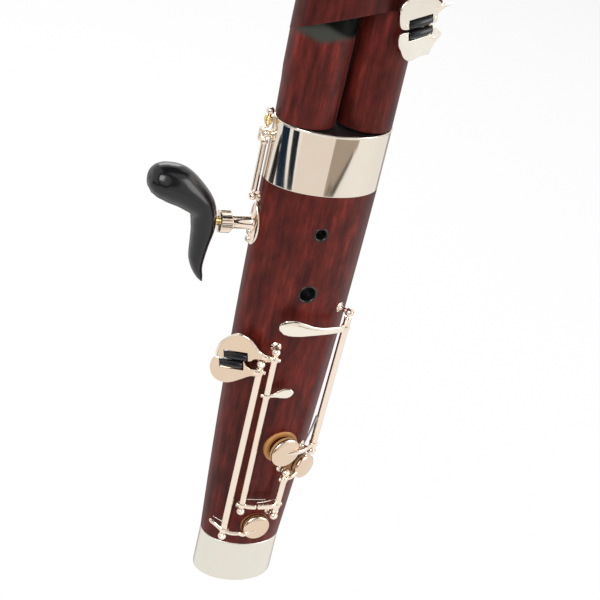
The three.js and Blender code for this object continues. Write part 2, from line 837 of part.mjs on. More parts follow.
function crookTube(footRadius, tipRadius, overrun) {
  const rings = [];
  for (let i = 0; i <= crookSteps; i += 1) {
    const share = i / crookSteps;
    const point = crookCurve.getPointAt(share);
    const along = crookCurve.getTangentAt(share);
    const { side, over } = basisAlong(along, vec(1, 0, 0));
    const end = i === 0 ? -overrun : i === crookSteps ? overrun : 0;
    point.addScaledVector(along, end);
    const radius = lerp(footRadius, tipRadius, share);
    rings.push(ovalRing(point, side, over, radius, radius, 9));
  }
  return loft(rings);
}

function crook() {
  const bore = crookTube(crookFootBoreRadius, crookBoreRadius, cutOverrun);
  return cut(crookTube(crookFootRadius, crookTipRadius, 0), bore);
}

function crookCork() {
  const inner = crookFootRadius + seatGap;
  const high = crookSocketDepth - seatGap * 2;
  return sleeve(inner, crookCorkRadius, 0, high, vec(crookX, 0, crookFootZ), zAxis, 16);
}

const reedFoot = crookCurve.getPointAt(1);
const reedAlong = crookCurve.getTangentAt(1);

// Along the reed: shares of its length, of the way from tube to blade width, and of its thickness
const reedShares = [[0, 0, 1], [0.42, 0, 1], [0.52, 0.23, 0.86], [0.75, 0.69, 0.5], [1, 1, 0.16]];

function reedBody() {
  const { side, over } = basisAlong(reedAlong);
  const start = reedFoot.clone().addScaledVector(reedAlong, -reedSocket);
  const rings = reedShares.map(([t, spread, thick]) => {
    const centre = start.clone().addScaledVector(reedAlong, t * reedLength);
    const halfWidth = lerp(reedTubeRadius, reedHalfWidth, spread);
    return ovalRing(centre, side, over, halfWidth, reedTubeRadius * thick, 14);
  });
  const socketEnd = start.clone().addScaledVector(reedAlong, reedSocket + seatGap);
  const socketFoot = start.clone().addScaledVector(reedAlong, -cutOverrun);
  return cut(loft(rings), bar(socketFoot, socketEnd, crookTipRadius + seatGap, 12));
}

// Hand rest, on the boot's left edge

const handAxis = vec(-1, 0, 0);

function handRoot(out) {
  return bootHost.at(180, handRestHeight, out);
}

const handSocketEnd = handRoot(seatGap + handSocketLength);
const handNutEnd = handSocketEnd.clone().addScaledVector(handAxis, handNutWidth + seatGap);
const crutchRootX = handNutEnd.x - screwHeadRadius;

const leafShares = [[0, 1], [0.55, 0.72], [0.9, 0.25], [1, -0.2], [0.86, -0.7], [0.4, -1],
  [-0.4, -1], [-0.86, -0.7], [-1, -0.2], [-0.9, 0.25], [-0.55, 0.72]];
const handScrewShares = [-0.45, -0.82];

function handPlate() {
  const leaf = leafShares.map(([p, q]) => [p * handPlateHalfWidth, q * handPlateHalfHeight]);
  const outline = smoothOutline(leaf, 26);
  const depth = bootTopHalfWidth;
  const centre = vec(-bootTopHalfWidth, 0, handRestHeight);
  const blank = plate(outline, depth, centre, vec(0, 1, 0), vec(0, 0, 1));
  const skin = cut(grownBoot(seatGap + handPlateThickness).intersect(blank), bootHost.grown);
  const screws = handScrewShares.map((share) => {
    const z = handRestHeight + share * handPlateHalfHeight;
    const seat = bootHost.at(180, z, seatGap + handPlateThickness);
    return ball(seat, screwHeadRadius);
  });
  const socket = bar(handRoot(seatGap), handSocketEnd, handSocketRadius, 18);
  const plateFace = handRoot(seatGap + handPlateThickness);
  const bore = bar(plateFace, handNutEnd, handStemRadius + seatGap, 14);
  return cut(union(skin, socket, screws.map((s) => cut(s, bootHost.grown))), bore);
}

const nutRootShare = 0.93;

function handNut() {
  const teeth = 22;
  const outline = Array.from({ length: teeth * 2 }, (_, i) => {
    const angle = (Math.PI * i) / teeth;
    const r = i % 2 ? handNutRadius : handNutRadius * nutRootShare;
    return [r * Math.cos(angle), r * Math.sin(angle)];
  });
  const start = handSocketEnd.clone().addScaledVector(handAxis, seatGap + handNutWidth / 2);
  const blank = plate(outline, handNutWidth, start, vec(0, 1, 0), vec(0, 0, 1));
  const reach = handAxis.clone().multiplyScalar(handNutWidth);
  const near = start.clone().sub(reach);
  return cut(blank, bar(near, start.clone().add(reach), handStemRadius + seatGap, 14));
}

function handStem() {
  const inner = handRoot(seatGap * 2 + handPlateThickness);
  const outer = vec(crutchRootX - seatGap, 0, handRestHeight);
  return bar(inner, outer.addScaledVector(handAxis, handStemSink), handStemRadius, 14);
}

// Along the crutch: shares of its reach and height, and of its depth in its plane and across it
const crutchShares = [
  [-0.988, 0.341, 0.08, 0.1],
  [-0.963, 0.339, 0.46, 0.5],
  [-0.902, 0.336, 0.77, 0.8],
  [-0.793, 0.327, 0.97, 1],
  [-0.61, 0.297, 1.07, 1.05],
  [-0.385, 0.217, 0.91, 0.98],
  [-0.207, 0.116, 0.73, 0.88],
  [-0.144, -0.043, 0.65, 0.78],
  [-0.149, -0.183, 0.52, 0.68],
  [-0.149, -0.32, 0.43, 0.56],
  [-0.117, -0.41, 0.3, 0.42],
  [-0.056, -0.488, 0.17, 0.26],
  [-0.017, -0.529, 0.05, 0.08],
];

function crutch() {
  const edge = crutchRootX;
  const half = crutchDepth;
  const centres = crutchShares.map(([u, v]) => (
    vec(edge + u * crutchReach, 0, handRestHeight + v * crutchHeight)
  ));
  const rings = crutchShares.map(([, , inPlane, deep], i) => {
    const before = centres[Math.max(i - 1, 0)];
    const after = centres[Math.min(i + 1, centres.length - 1)];
    const run = after.clone().sub(before).normalize();
    const yAxis = vec(0, 1, 0);
    const side = run.clone().cross(yAxis).normalize();
    return ovalRing(centres[i], side, yAxis, half * inPlane, half * deep, 14).reverse();
  });
  const mouth = vec(edge + handStemSink * 2, 0, handRestHeight);
  const floor = vec(edge - handStemSink - seatGap * 2, 0, handRestHeight);
  return cut(loft(rings), bar(mouth, floor, handStemRadius + seatGap, 14));
}

// Keys

function hingeBetween(low, high) {
  return { at: low.clone(), axis: high.clone().sub(low).normalize() };
}

function keyTube(low, high, radius = rodRadius) {
  const along = high.clone().sub(low).normalize();
  const inset = ballRadius + seatGap;
  const foot = low.clone().addScaledVector(along, inset);
  return bar(foot, high.clone().addScaledVector(along, -inset), radius, 8);
}

function keyBore(low, high) {
  return bar(low, high, rodBoreRadius, 6);
}

const postHeadShares = [[1, -0.3], [1, 0.3], [0.5, 0.87], [0, 1]];

// Two ball posts that stand in the wood, joined by the steel the key turns on
function pivot(low, high, host, degrees) {
  const angles = Array.isArray(degrees) ? degrees : [degrees, degrees];
  const posts = [low, high].map((centre, i) => {
    const outward = host.normal(angles[i], centre.z);
    const foot = host.at(angles[i], centre.z, -pillarSink);
    const rise = centre.clone().sub(foot).length();
    const profile = [
      [0, 0],
      [postFootRadius, 0],
      [postFootRadius, pillarSink * 1.8],
      [pillarRadius, pillarSink * 2.6],
      [pillarRadius, rise - ballRadius * 0.85],
      ...postHeadShares.map(([r, t]) => [ballRadius * r, rise + ballRadius * t]),
    ];
    return turned(profile, foot, outward, 6);
  });
  return cut(union(posts, bar(low, high, steelRadius, 5)), host.grown);
}

// The dome of a cup, and of one with its pad in it: shares of its radius and of its height
const domeShares = [[1, 0.55], [0.9, 0.8], [0.6, 0.95], [0, 1]];
const closedDomeShares = [[1, 0.55], [0.85, 0.88], [0, 1]];
const padFaceShare = 0.93;
const padBulgeShare = 0.4;

// A domed cup over a tone hole, and the pad it holds, both in the closed place
function cupAt(host, degrees, z, radius, padDrop, sides = 14) {
  const out = host.normal(degrees, z);
  const padFace = host.at(degrees, z, toneSeatRise + seatGap);
  const rim = padFace.clone().addScaledVector(out, padDrop);
  const top = rim.clone().addScaledVector(out, cupHeight);
  const inner = radius - cupWall;
  const dome = (shares, lift) => shares.map(([r, t]) => [radius * r, lift + cupHeight * t]);
  const padRadius = inner - seatGap;
  const lipRadius = radius - seatGap;
  const padTop = padDrop + cupRecess - seatGap;
  const padLip = padDrop - seatGap;
  const face = [[0, 0], [lipRadius * padFaceShare, 0], [lipRadius, padLip * padBulgeShare]];
  const shell = [[0, cupRecess], [inner, cupRecess], [inner, 0], [radius, 0], ...dome(domeShares, 0)];
  const padShape = [...face, [lipRadius, padLip], [padRadius, padLip], [padRadius, padTop], [0, padTop]];
  const filled = [...face, [radius, padDrop], ...dome(closedDomeShares, padDrop)];
  return {
    cup: turned(shell, rim, out, sides),
    pad: turned(padShape, padFace, out, sides),
    padded: turned(filled, padFace, out, sides),
    top, rim, out,
  };
}

function station(at, wide, thick = armHalfThickness, out = null) {
  return out ? { at, wide, thick, out } : { at, wide, thick };
}

// An arm from a key tube to the crown of its cup
function cupArm(host, rodDegrees, rodOut, z, cup, degrees) {
  const from = host.at(rodDegrees, z, rodOut);
  const crown = cup.top.clone().addScaledVector(cup.out, -armLift);
  const overRod = host.at(rodDegrees, z, rodOut + rodRadius * 0.5);
  const middleDegrees = (rodDegrees + degrees) / 2;
  const high = Math.max(rodOut, cup.top.clone().sub(host.at(degrees, cup.top.z)).length());
  const middle = host.at(middleDegrees, (z + crown.z) / 2, high + armLift);
  const out = host.normal(middleDegrees, z);
  const beyond = crown.clone().sub(middle).normalize().multiplyScalar(armHalfWidth);
  const tip = crown.clone().add(beyond);
  return strip([
    station(from, armHalfWidth, armHalfThickness, host.normal(rodDegrees, z)),
    station(overRod.lerp(middle, 0.5), armHalfWidth),
    station(middle, armHalfWidth),
    station(crown, armHalfWidth * 0.9, armHalfThickness, cup.out),
    station(tip, armHalfWidth * 0.5, armHalfThickness * 0.6, cup.out),
  ], out);
}

// A key on its own tube, made closed and then turned open about its hinge by restDegrees
function finishKey(name, parts, rod, restDegrees, pads = []) {
  const { low, high, host, degrees, radius = rodRadius } = rod;
  const hinge = hingeBetween(low, high);
  const key = cut(union(keyTube(low, high, radius), parts), keyBore(low, high));
  const posed = (solid) => (restDegrees ? turnAbout(solid, hinge, restDegrees) : solid);
  addNode(name, posed(key), silver, hinge);
  pads.forEach((pad, i) => addNode(`${name}_pad${i ? i + 1 : ''}`, posed(pad), leather));
  addNode(`${name}_pivot`, pivot(low, high, host, degrees), silver);
  return hinge;
}

// Front of the boot: A flat key, F key with its linked cup key, and G key

const aFlatRodDegrees = -124;
const aFlatRodFootDegrees = -128;
const aFlatCupDegrees = -87;
const fRodDegrees = -112.6;
const fCupRodDegrees = -71;
const fCupDegrees = -43;
const gRodDegrees = -45;
const gRodFootDegrees = -42;
const gCupDegrees = -79.5;
const fOpenDegrees = 9;
const gOpenDegrees = 6;
const rollerSlantDegrees = 13.5;
const rollerFaceDegrees = -130;

// The plane of the two roller plates: it faces left and forward, and touches the front of the A flat rod
function rollerPlane() {
  const face = THREE.MathUtils.degToRad(rollerFaceDegrees);
  const slant = THREE.MathUtils.degToRad(rollerSlantDegrees);
  const out = vec(Math.cos(face), Math.sin(face), 0);
  const level = vec(-out.y, out.x, 0);
  const origin = bootHost.at(aFlatRodDegrees, rollerPlateHeight, rodStandOff)
    .addScaledVector(out, plateThickness)
    .addScaledVector(level, -rollerCentreReach);
  return {
    origin,
    pAxis: tilted(level, zAxis, slant),
    qAxis: tilted(zAxis, level.clone().negate(), slant),
    out,
    reach: rollerPlateReach,
    rise: rollerPlateRise,
    length: rollerLength,
    pitch: rollerPitch,
  };
}

// A unit vector turned by angle from one axis towards another
function tilted(from, towards, angle) {
  return from.clone().multiplyScalar(Math.cos(angle)).addScaledVector(towards, Math.sin(angle));
}

function onPlane(plane, p, q, out = 0) {
  return plane.origin.clone()
    .addScaledVector(plane.pAxis, p)
    .addScaledVector(plane.qAxis, q)
    .addScaledVector(plane.out, out);
}

// A plate with a slot in its edge for a roller; side is +1 for the upper plate and -1 for the lower one
function rollerPlate(plane, shares, middle, side, steps) {
  const { reach, rise, length, pitch } = plane;
  const outline = smoothOutline(shares.map(([p, q]) => [p * reach, q * rise]), steps);
  const blank = plate(outline, plateThickness, plane.origin, plane.pAxis, plane.qAxis);
  const slotHalf = length / 2 + seatGap;
  const slotDeep = pitch / 2 + rollerRadius + seatGap * 2;
  const near = middle - slotHalf;
  const far = middle + slotHalf;
  const edge = -side * cutOverrun;
  const floor = side * slotDeep;
  const slot = [[near, edge], [far, edge], [far, floor], [near, floor]];
  const ordered = side > 0 ? slot : slot.reverse();
  const tool = plate(ordered, plateThickness * 3, plane.origin, plane.pAxis, plane.qAxis);
  const axisQ = (side * pitch) / 2;
  const halfPin = length / 2 + seatGap + rollerRadius * 0.4;
  const pinFoot = onPlane(plane, middle - halfPin, axisQ);
  const pin = bar(pinFoot, onPlane(plane, middle + halfPin, axisQ), rollerPinRadius, 6);
  return union(cut(blank, tool), pin);
}

function roller(plane, middle, side) {
  const { length, pitch } = plane;
  const start = onPlane(plane, middle - length / 2, (side * pitch) / 2);
  const profile = [
    [rollerBoreRadius, 0],
    [rollerEndRadius, 0],
    [rollerRadius, length * 0.2],
    [rollerRadius, length * 0.8],
    [rollerEndRadius, length],
    [rollerBoreRadius, length],
    [rollerBoreRadius, 0],
  ];
  return turned(profile, start, plane.pAxis, 12);
}

const upperPlateShares = [[1.5, 0.25], [1.08, 0.49], [0.83, 0.77], [0.59, 0.94], [0.24, 1],
  [-0.16, 0.85], [-0.48, 0.61], [-0.67, 0.31], [-0.7, 0.06], [-0.52, 0.02], [0, 0.02], [0.5, 0.02],
  [0.72, 0.05], [0.86, 0.14], [1.2, 0.16], [1.5, 0.12]];
const lowerPlateShares = [[-0.83, -0.02], [-1, -0.31], [-0.96, -0.65], [-0.74, -0.85], [-0.49, -0.91],
  [-0.15, -0.86], [0.29, -0.68], [0.67, -0.52], [1.06, -0.46], [1.06, -0.26], [0.7, -0.24],
  [0.5, -0.14], [0.42, -0.02], [0.2, -0.02], [-0.5, -0.02]];
const upperRollerShare = 0.1;
const lowerRollerShare = -0.1;
const lowerRootShares = [0.98, -0.36];
const upperRootShares = [1.2, 0.26];

function frontRod(degrees, lowZ, highZ, footDegrees = degrees) {
  return {
    low: bootHost.at(footDegrees, lowZ, rodStandOff),
    high: bootHost.at(degrees, highZ, rodStandOff),
    host: bootHost,
    degrees: [footDegrees, degrees],
  };
}

function addRoller(name, plane, middle, side) {
  const at = onPlane(plane, middle, (side * plane.pitch) / 2);
  addNode(name, roller(plane, middle, side), resin, { at, axis: plane.pAxis });
}

function aFlatKey() {
  const rod = frontRod(aFlatRodDegrees, aFlatBallLow, aFlatBallHigh, aFlatRodFootDegrees);
  const nearFoot = (z, turn = 0) => bootHost.at(aFlatRodFootDegrees + turn, z, rodStandOff);
  const z = aFlatCupHeight;
  const plane = rollerPlane();
  const middle = lowerRollerShare * plane.reach;
  const leaf = rollerPlate(plane, lowerPlateShares, middle, -1, 36);
  const cup = cupAt(bootHost, aFlatCupDegrees, z, aFlatCupRadius, aFlatPadDrop, 16);
  const arm = cupArm(bootHost, aFlatRodFootDegrees, rodStandOff, z, cup, aFlatCupDegrees);
  const rootP = lowerRootShares[0] * plane.reach;
  const rootQ = lowerRootShares[1] * plane.rise;
  const rootOn = onPlane(plane, rootP, rootQ);
  const rootZ = Math.min(rootOn.z, aFlatBallHigh - ballRadius * 2);
  const root = strip([
    station(onPlane(plane, rootP * 0.85, rootQ), armHalfWidth, plateThickness / 2),
    station(rootOn, armHalfWidth, plateThickness / 2),
    station(bootHost.at(aFlatRodDegrees, rootZ, rodStandOff), armHalfWidth, plateThickness),
  ], plane.out);
  const heel = strip([
    station(nearFoot(z), armHalfWidth),
    station(nearFoot(z + armHalfWidth * 2, -12), armHalfWidth * 0.8),
    station(nearFoot(z + armHalfWidth * 4, -20), armHalfWidth * 0.4),
  ], bootHost.normal(aFlatRodFootDegrees, z));
  finishKey('a_flat_key', [leaf, arm, root, heel, cup.cup], rod, 0, [cup.pad]);
  addRoller('a_flat_roller', plane, middle, -1);
}

// Where the F key's link arm and the cup key's link arm lie over one another
function linkMeet(out, aside) {
  const meetDegrees = (fRodDegrees + fCupRodDegrees) / 2;
  return bootHost.at(meetDegrees, linkHeight, out).add(vec(aside, 0, 0));
}

// Along the F key's small touch: shares of its length, of its rise and of an arm's half width
const fTouchShares = [[0, 0, 0.7], [0.3, 0.05, 0.9], [0.52, 0.13, 1.8], [0.75, 0.2, 2.2],
  [0.93, 0.23, 1.7], [1, 0.24, 0.8]];

function fKey() {
  const rod = frontRod(fRodDegrees, fBallLow, fBallHigh);
  const plane = rollerPlane();
  const middle = upperRollerShare * plane.reach;
  const leaf = rollerPlate(plane, upperPlateShares, middle, 1, 36);
  const rootP = upperRootShares[0] * plane.reach;
  const rootQ = upperRootShares[1] * plane.rise;
  const rootZ = Math.min(onPlane(plane, rootP, rootQ).z, fBallHigh - ballRadius * 2);
  const root = strip([
    station(onPlane(plane, rootP, rootQ), armHalfWidth * 1.2, plateThickness / 2),
    station(onPlane(plane, rootP * 1.15, rootQ * 0.9), armHalfWidth * 1.2, plateThickness / 2),
    station(bootHost.at(fRodDegrees, rootZ, rodStandOff), armHalfWidth, plateThickness),
  ], plane.out);
  const out = vec(0, -1, 0);
  const leafFoot = bootHost.at(fRodDegrees, fLeafHeight, rodStandOff);
  const small = strip(fTouchShares.map(([along, rise, wide]) => {
    const reach = vec(along * fLeafLength, -along * rodRadius, rise * fLeafLength);
    return station(reach.add(leafFoot), wide * armHalfWidth, touchHalfThickness);
  }), out);
  const meet = linkMeet(rodStandOff - armHalfThickness, linkHalfWidth);
  const link = strip([
    station(bootHost.at(fRodDegrees, linkHeight, rodStandOff), linkHalfWidth),
    station(bootHost.at(fRodDegrees + 10, linkHeight, rodStandOff), linkHalfWidth),
    station(meet, linkHalfWidth, armHalfThickness * 0.7),
  ], out);
  finishKey('f_key', [leaf, root, small, link], rod, 0);
  addRoller('f_roller', plane, middle, 1);
}

function fCupKey() {
  const rod = frontRod(fCupRodDegrees, fCupBallLow, fCupBallHigh);
  const cup = cupAt(bootHost, fCupDegrees, fCupHeight, fCupRadius, fPadDrop, 16);
  const collarZ = fCupBallHigh - ballRadius * 2.4;
  const middleDegrees = (fCupRodDegrees + fCupDegrees) / 2;
  const high = rodStandOff + rodRadius;
  const out = bootHost.normal(fCupDegrees, fCupHeight);
  const crown = cup.top.clone().addScaledVector(cup.out, -armLift);
  const arm = strip([
    station(bootHost.at(fCupRodDegrees, collarZ, rodStandOff), armHalfWidth),
    station(bootHost.at(middleDegrees, collarZ - armHalfWidth, high), armHalfWidth),
    station(bootHost.at(fCupDegrees, (collarZ + fCupHeight) / 2, high), armHalfWidth),
    station(crown, armHalfWidth * 0.7, armHalfThickness, cup.out),
  ], out);
  const meet = linkMeet(rodStandOff + armHalfThickness * 1.4, -linkHalfWidth);
  const lifted = rodStandOff + armHalfThickness;
  const link = strip([
    station(bootHost.at(fCupRodDegrees, linkHeight, rodStandOff), linkHalfWidth),
    station(bootHost.at(fCupRodDegrees - 10, linkHeight, lifted), linkHalfWidth),
    station(meet, linkHalfWidth, armHalfThickness * 0.7),
  ], vec(0, -1, 0));
  const parts = [turnAboutRod(link, rod, fOpenDegrees), arm, cup.cup];
  finishKey('f_cup_key', parts, rod, -fOpenDegrees, [cup.pad]);
}

// A part that is drawn in its resting place goes the other way first, so the opening turn brings it back
function turnAboutRod(solid, rod, degrees) {
  return turnAbout(solid, hingeBetween(rod.low, rod.high), degrees);
}

// Along the G key's touch: the angle round the boot, and shares of its half width down and across
const gTouchShares = [[-112.5, 0, 0.48], [-110, 0, 0.86], [-104, 0, 1], [-95, -0.1, 0.86],
  [-86, -0.22, 0.6], [-76, -0.3, 0.46], [-64, -0.38, 0.42], [-54, -0.48, 0.42],
  [gRodDegrees, -0.65, 0.45]];

function gKey() {
  const rod = {
    low: bootHost.at(gRodFootDegrees, gBallLow, gStandOff),
    high: bootHost.at(gRodDegrees, gBallHigh, gStandOff),
    host: bootHost,
    degrees: [gRodFootDegrees, gRodDegrees],
  };
  const cup = cupAt(bootHost, gCupDegrees, gCupHeight, gCupRadius, gPadDrop, 16);
  const arm = cupArm(bootHost, gRodFootDegrees, gStandOff, gArmHeight, cup, gCupDegrees);
  const touch = strip(gTouchShares.map(([degrees, drop, wide]) => {
    const z = gTouchHeight + drop * gTouchHalfWidth;
    const lift = degrees === gRodDegrees ? gStandOff : gStandOff + rodRadius * 0.6;
    const facing = bootHost.normal(degrees, z);
    const at = bootHost.at(degrees, z, lift);
    return station(at, wide * gTouchHalfWidth, touchHalfThickness, facing);
  }), vec(0, -1, 0));
  const parts = [turnAboutRod(touch, rod, -gOpenDegrees), arm, cup.cup];
  finishKey('g_key', parts, rod, gOpenDegrees, [cup.pad]);
}

// Lever keys of the back and the upper joints, which share one form.
// heightShares: lower post, upper post, cup and touch between two heights of the joint.

const leverTouchShares = [[0, 0.5], [0.25, 0.5], [0.5, 0.8], [0.75, 1], [1, 0.6]];

function leverKey(name, host, from, to, key) {
  const z = (share) => lerp(from, to, share);
  const { rod: degrees, cupDegrees, cupRadius, touch, open, shares } = key;
  const [lowShare, highShare, cupShare, touchShare] = shares;
  const out = rodStandOff;
  const rod = {
    low: host.at(degrees, z(lowShare), out),
    high: host.at(degrees, z(highShare), out),
    host,
    degrees,
  };
  const cup = cupAt(host, cupDegrees, z(cupShare), cupRadius, aFlatPadDrop, 10);
  const arm = cupArm(host, degrees, out, z(cupShare), cup, cupDegrees);
  const touchZ = z(touchShare);
  const turnSign = -Math.sign(cupDegrees - degrees);
  const half = armHalfWidth * 2.2;
  const paddle = strip(leverTouchShares.map(([along, wide]) => {
    const angle = degrees + (touch - degrees) * along;
    const lift = along ? out + rodRadius * 0.6 : out;
    const facing = host.normal(angle, touchZ);
    return station(host.at(angle, touchZ, lift), wide * half, touchHalfThickness, facing);
  }), host.normal(degrees, touchZ));
  const rest = open ? turnSign * open : 0;
  const paddlePosed = rest ? turnAboutRod(paddle, rod, -rest) : paddle;
  const pads = key.loosePad ? [cup.pad] : [];
  finishKey(name, [arm, key.loosePad ? cup.cup : cup.padded, paddlePosed], rod, rest, pads);
}

// Little-finger roller keys of the long joint

const longFaceDegrees = -75;
const longSlantDegrees = 14;
const cSharpRodDegrees = -35;
const cSharpCupDegrees = 8;
const eFlatRodDegrees = -5;
const eFlatCupDegrees = 38;

function longPlane() {
  const face = THREE.MathUtils.degToRad(longFaceDegrees);
  const slant = THREE.MathUtils.degToRad(longSlantDegrees);
  const out = vec(Math.cos(face), Math.sin(face), 0);
  const level = vec(-out.y, out.x, 0);
  const origin = longHost.at(longFaceDegrees, longPlateHeight, longPlateStandOff)
    .addScaledVector(level, longPlateShift);
  return {
    origin,
    pAxis: tilted(level, zAxis, slant),
    qAxis: tilted(zAxis, level.clone().negate(), slant),
    out,
    reach: longPlateReach,
    rise: longPlateRise,
    length: longRollerLength,
    pitch: longRollerPitch,
  };
}

const longUpperShares = [[-1.02, 0.58], [-0.97, 0.84], [-0.67, 1.04], [-0.2, 1.17], [0.3, 1.13],
  [0.62, 0.92], [0.81, 0.73], [1.05, 0.55], [1.57, 0.49], [1.06, 0.42], [0.82, 0.29], [0.74, 0.04],
  [0.3, 0.04], [-0.3, 0.04], [-0.77, 0.08], [-0.93, 0.16], [-1, 0.32]];
const longLowerShares = [[-0.98, -0.05], [-1.03, -0.4], [-0.92, -0.6], [-0.78, -0.86], [-0.51, -1.03],
  [-0.13, -1], [0.19, -0.98], [0.45, -0.99], [0.51, -0.87], [0.75, -0.64], [1.03, -0.41],
  [0.85, -0.23], [0.65, -0.07], [0, -0.04], [-0.6, -0.04]];

// The two keys: their rods, their cups and the shares of the plate at which they join it
const cSharpKey = {
  side: -1,
  outlineShares: longLowerShares,
  degrees: cSharpRodDegrees,
  rodShares: [cSharpFootShare, cSharpTopShare],
  cupDegrees: cSharpCupDegrees,
  cupShare: cSharpCupShare,
  cupRadius: cSharpCupRadius,
  rootShares: [0.72, -0.5],
};
const eFlatKey = {
  side: 1,
  outlineShares: longUpperShares,
  degrees: eFlatRodDegrees,
  rodShares: [eFlatFootShare, eFlatTopShare],
  cupDegrees: eFlatCupDegrees,
  cupShare: eFlatCupShare,
  cupRadius: eFlatCupRadius,
  rootShares: [1.1, 0.5],
};

function plateKey(name, plane, key) {
  const { side, degrees, cupDegrees } = key;
  const [lowZ, highZ] = key.rodShares.map(longUp);
  const cupZ = longUp(key.cupShare);
  const onRod = (z, lift = 0) => longHost.at(degrees, z, longKeyStandOff + lift);
  const rod = { low: onRod(lowZ), high: onRod(highZ), host: longHost, degrees };
  const leaf = rollerPlate(plane, key.outlineShares, 0, side, 36);
  const dome = cupAt(longHost, cupDegrees, cupZ, key.cupRadius, aFlatPadDrop, 10);
  const arm = cupArm(longHost, degrees, longKeyStandOff, cupZ, dome, cupDegrees);
  const rootP = key.rootShares[0] * plane.reach;
  const rootQ = key.rootShares[1] * plane.rise;
  const onLeaf = onPlane(plane, rootP, rootQ);
  const rootZ = Math.max(onLeaf.z, lowZ + ballRadius * 2);
  const facing = longHost.normal(degrees, rootZ);
  const thick = plateThickness / 2;
  const root = strip([
    station(onPlane(plane, rootP * 0.6, rootQ), armHalfWidth, thick),
    station(onLeaf, armHalfWidth, thick),
    station(onRod(rootZ, rodRadius * 0.5), armHalfWidth, thick, facing),
    station(onRod(rootZ), armHalfWidth, thick, facing),
  ], plane.out);
  finishKey(name, [leaf, arm, root, dome.padded], rod, 0);
  addRoller(name.replace('_key', '_roller'), plane, 0, side);
}

// Lock rod on the boot's left edge, with a brass barrel on its upper end

const lockDegrees = 177;

function lockKey() {
  const at = (z, out = 0) => bootHost.at(lockDegrees, z, lockStandOff + out);
  const low = at(lockBallLow);
  const high = at(lockBallHigh);
  const out = bootHost.normal(lockDegrees, lockBallHigh);
  const axisAt = (z, side = 0) => {
    const share = (z - low.z) / (high.z - low.z);
    return low.clone().lerp(high, share).addScaledVector(out, side);
  };
  const above = lockBallHigh + ballRadius;
  const wrap = ballRadius + armHalfThickness + seatGap * 2;
  const bracket = strip([
    station(axisAt(lockBallHigh - ballRadius - rodRadius), armHalfWidth * 0.8),
    station(axisAt(lockBallHigh - ballRadius - rodRadius / 2, wrap * 0.8), armHalfWidth * 0.8),
    station(axisAt(lockBallHigh, wrap), armHalfWidth * 0.8),
    station(axisAt(above, wrap * 0.85), armHalfWidth * 0.8),
    station(axisAt(above + armHalfThickness * 2), armHalfWidth * 0.8),
  ], out);
  const pinFoot = axisAt(above + armHalfThickness);
  const barrelFoot = above + armHalfThickness * 3;
  const top = axisAt(lockTopHeight);
  const pin = bar(pinFoot, top, steelRadius, 8);
  const rod = { low, high, host: bootHost, degrees: lockDegrees, radius: lockRodRadius };
  finishKey('lock_key', [bracket, pin, ball(top, lockRodRadius * 1.2)], rod, 0);
  const inner = steelRadius + seatGap;
  const along = top.clone().sub(pinFoot);
  const foot = axisAt(barrelFoot);
  addNode('lock_barrel', sleeve(inner, lockBarrelRadius, 0, lockBarrelHeight, foot, along, 12), brass);
}

const holeShare = 0.62;

function keyedHole(host, degrees, z, cupRadius, innerX) {
  const seatRadius = cupRadius - toneSeatWall;
  return {
    seat: toneSeat(host, degrees, z, seatRadius),
    hole: holeTool(host, degrees, z, seatRadius * holeShare, innerX),
  };
}

// The lever keys: degrees round the joint of the rod, the cup and the touch, and how far they rest open
const lowEKey = {
  rod: 48,
  cupDegrees: 92,
  cupRadius: 8.6,
  touch: 96,
  open: 6,
  loosePad: true,
  shares: [0.32, 0.68, 0.4, 0.62],
};
const fSharpKey = {
  rod: 52,
  cupDegrees: 90,
  cupRadius: 6.4,
  touch: 30,
  open: 0,
  shares: [0.06, 0.28, 0.14, 0.24],
};
const bFlatKey = {
  rod: 52,
  cupDegrees: 90,
  cupRadius: 6,
  touch: 17,
  open: 0,
  shares: [0.74, 0.97, 0.82, 0.766],
};
const whisperKey = {
  rod: 148,
  cupDegrees: 104,
  cupRadius: 4.6,
  touch: 118,
  open: 5,
  shares: [0.3, 0.93, 0.86, 0.38],
};
const cSpeakerKey = {
  rod: 100,
  cupDegrees: 56,
  cupRadius: 4.6,
  touch: 126,
  open: 0,
  shares: [0.08, 0.62, 0.52, 0.16],
};
const lowDKey = {
  rod: 62,
  cupDegrees: 14,
  cupRadius: 6.6,
  touch: 32,
  open: 6,
  shares: [0.28, 0.55, 0.48, 0.33],
};
const lowCKey = {
  rod: 62,
  cupDegrees: 14,
  cupRadius: 6.4,
  touch: 32,
  open: 6,
  shares: [0.59, 0.88, 0.8, 0.64],
};
const bellKey = {
  rod: 62,
  cupDegrees: 108,
  cupRadius: 6.6,
  touch: 30,
  open: 0,
  shares: [0.12, 0.86, 0.6, 0.3],
};
const bootBackKeys = { low_e_key: lowEKey, f_sharp_key: fSharpKey, b_flat_key: bFlatKey };
const wingKeys = { whisper_key: whisperKey, c_speaker_key: cSpeakerKey };
const longKeys = { low_d_key: lowDKey, low_c_key: lowCKey };
const bellKeys = { bell_key: bellKey };
const upperHoleDegrees = -92.7;
const lowerHoleDegrees = -92.2;

// The seats and holes under a joint's lever keys
function holesUnder(host, keys, from, to, innerXAt) {
  return Object.values(keys).map((key) => {
    const z = lerp(from, to, key.shares[2]);
    return keyedHole(host, key.cupDegrees, z, key.cupRadius, innerXAt(z));
  });
}

function addWood(name, make, keyed, plainHoles = []) {
  const holes = [...plainHoles, ...keyed.map((k) => k.hole)];
  addNode(name, make(holes, keyed.map((k) => k.seat)), wood);
}

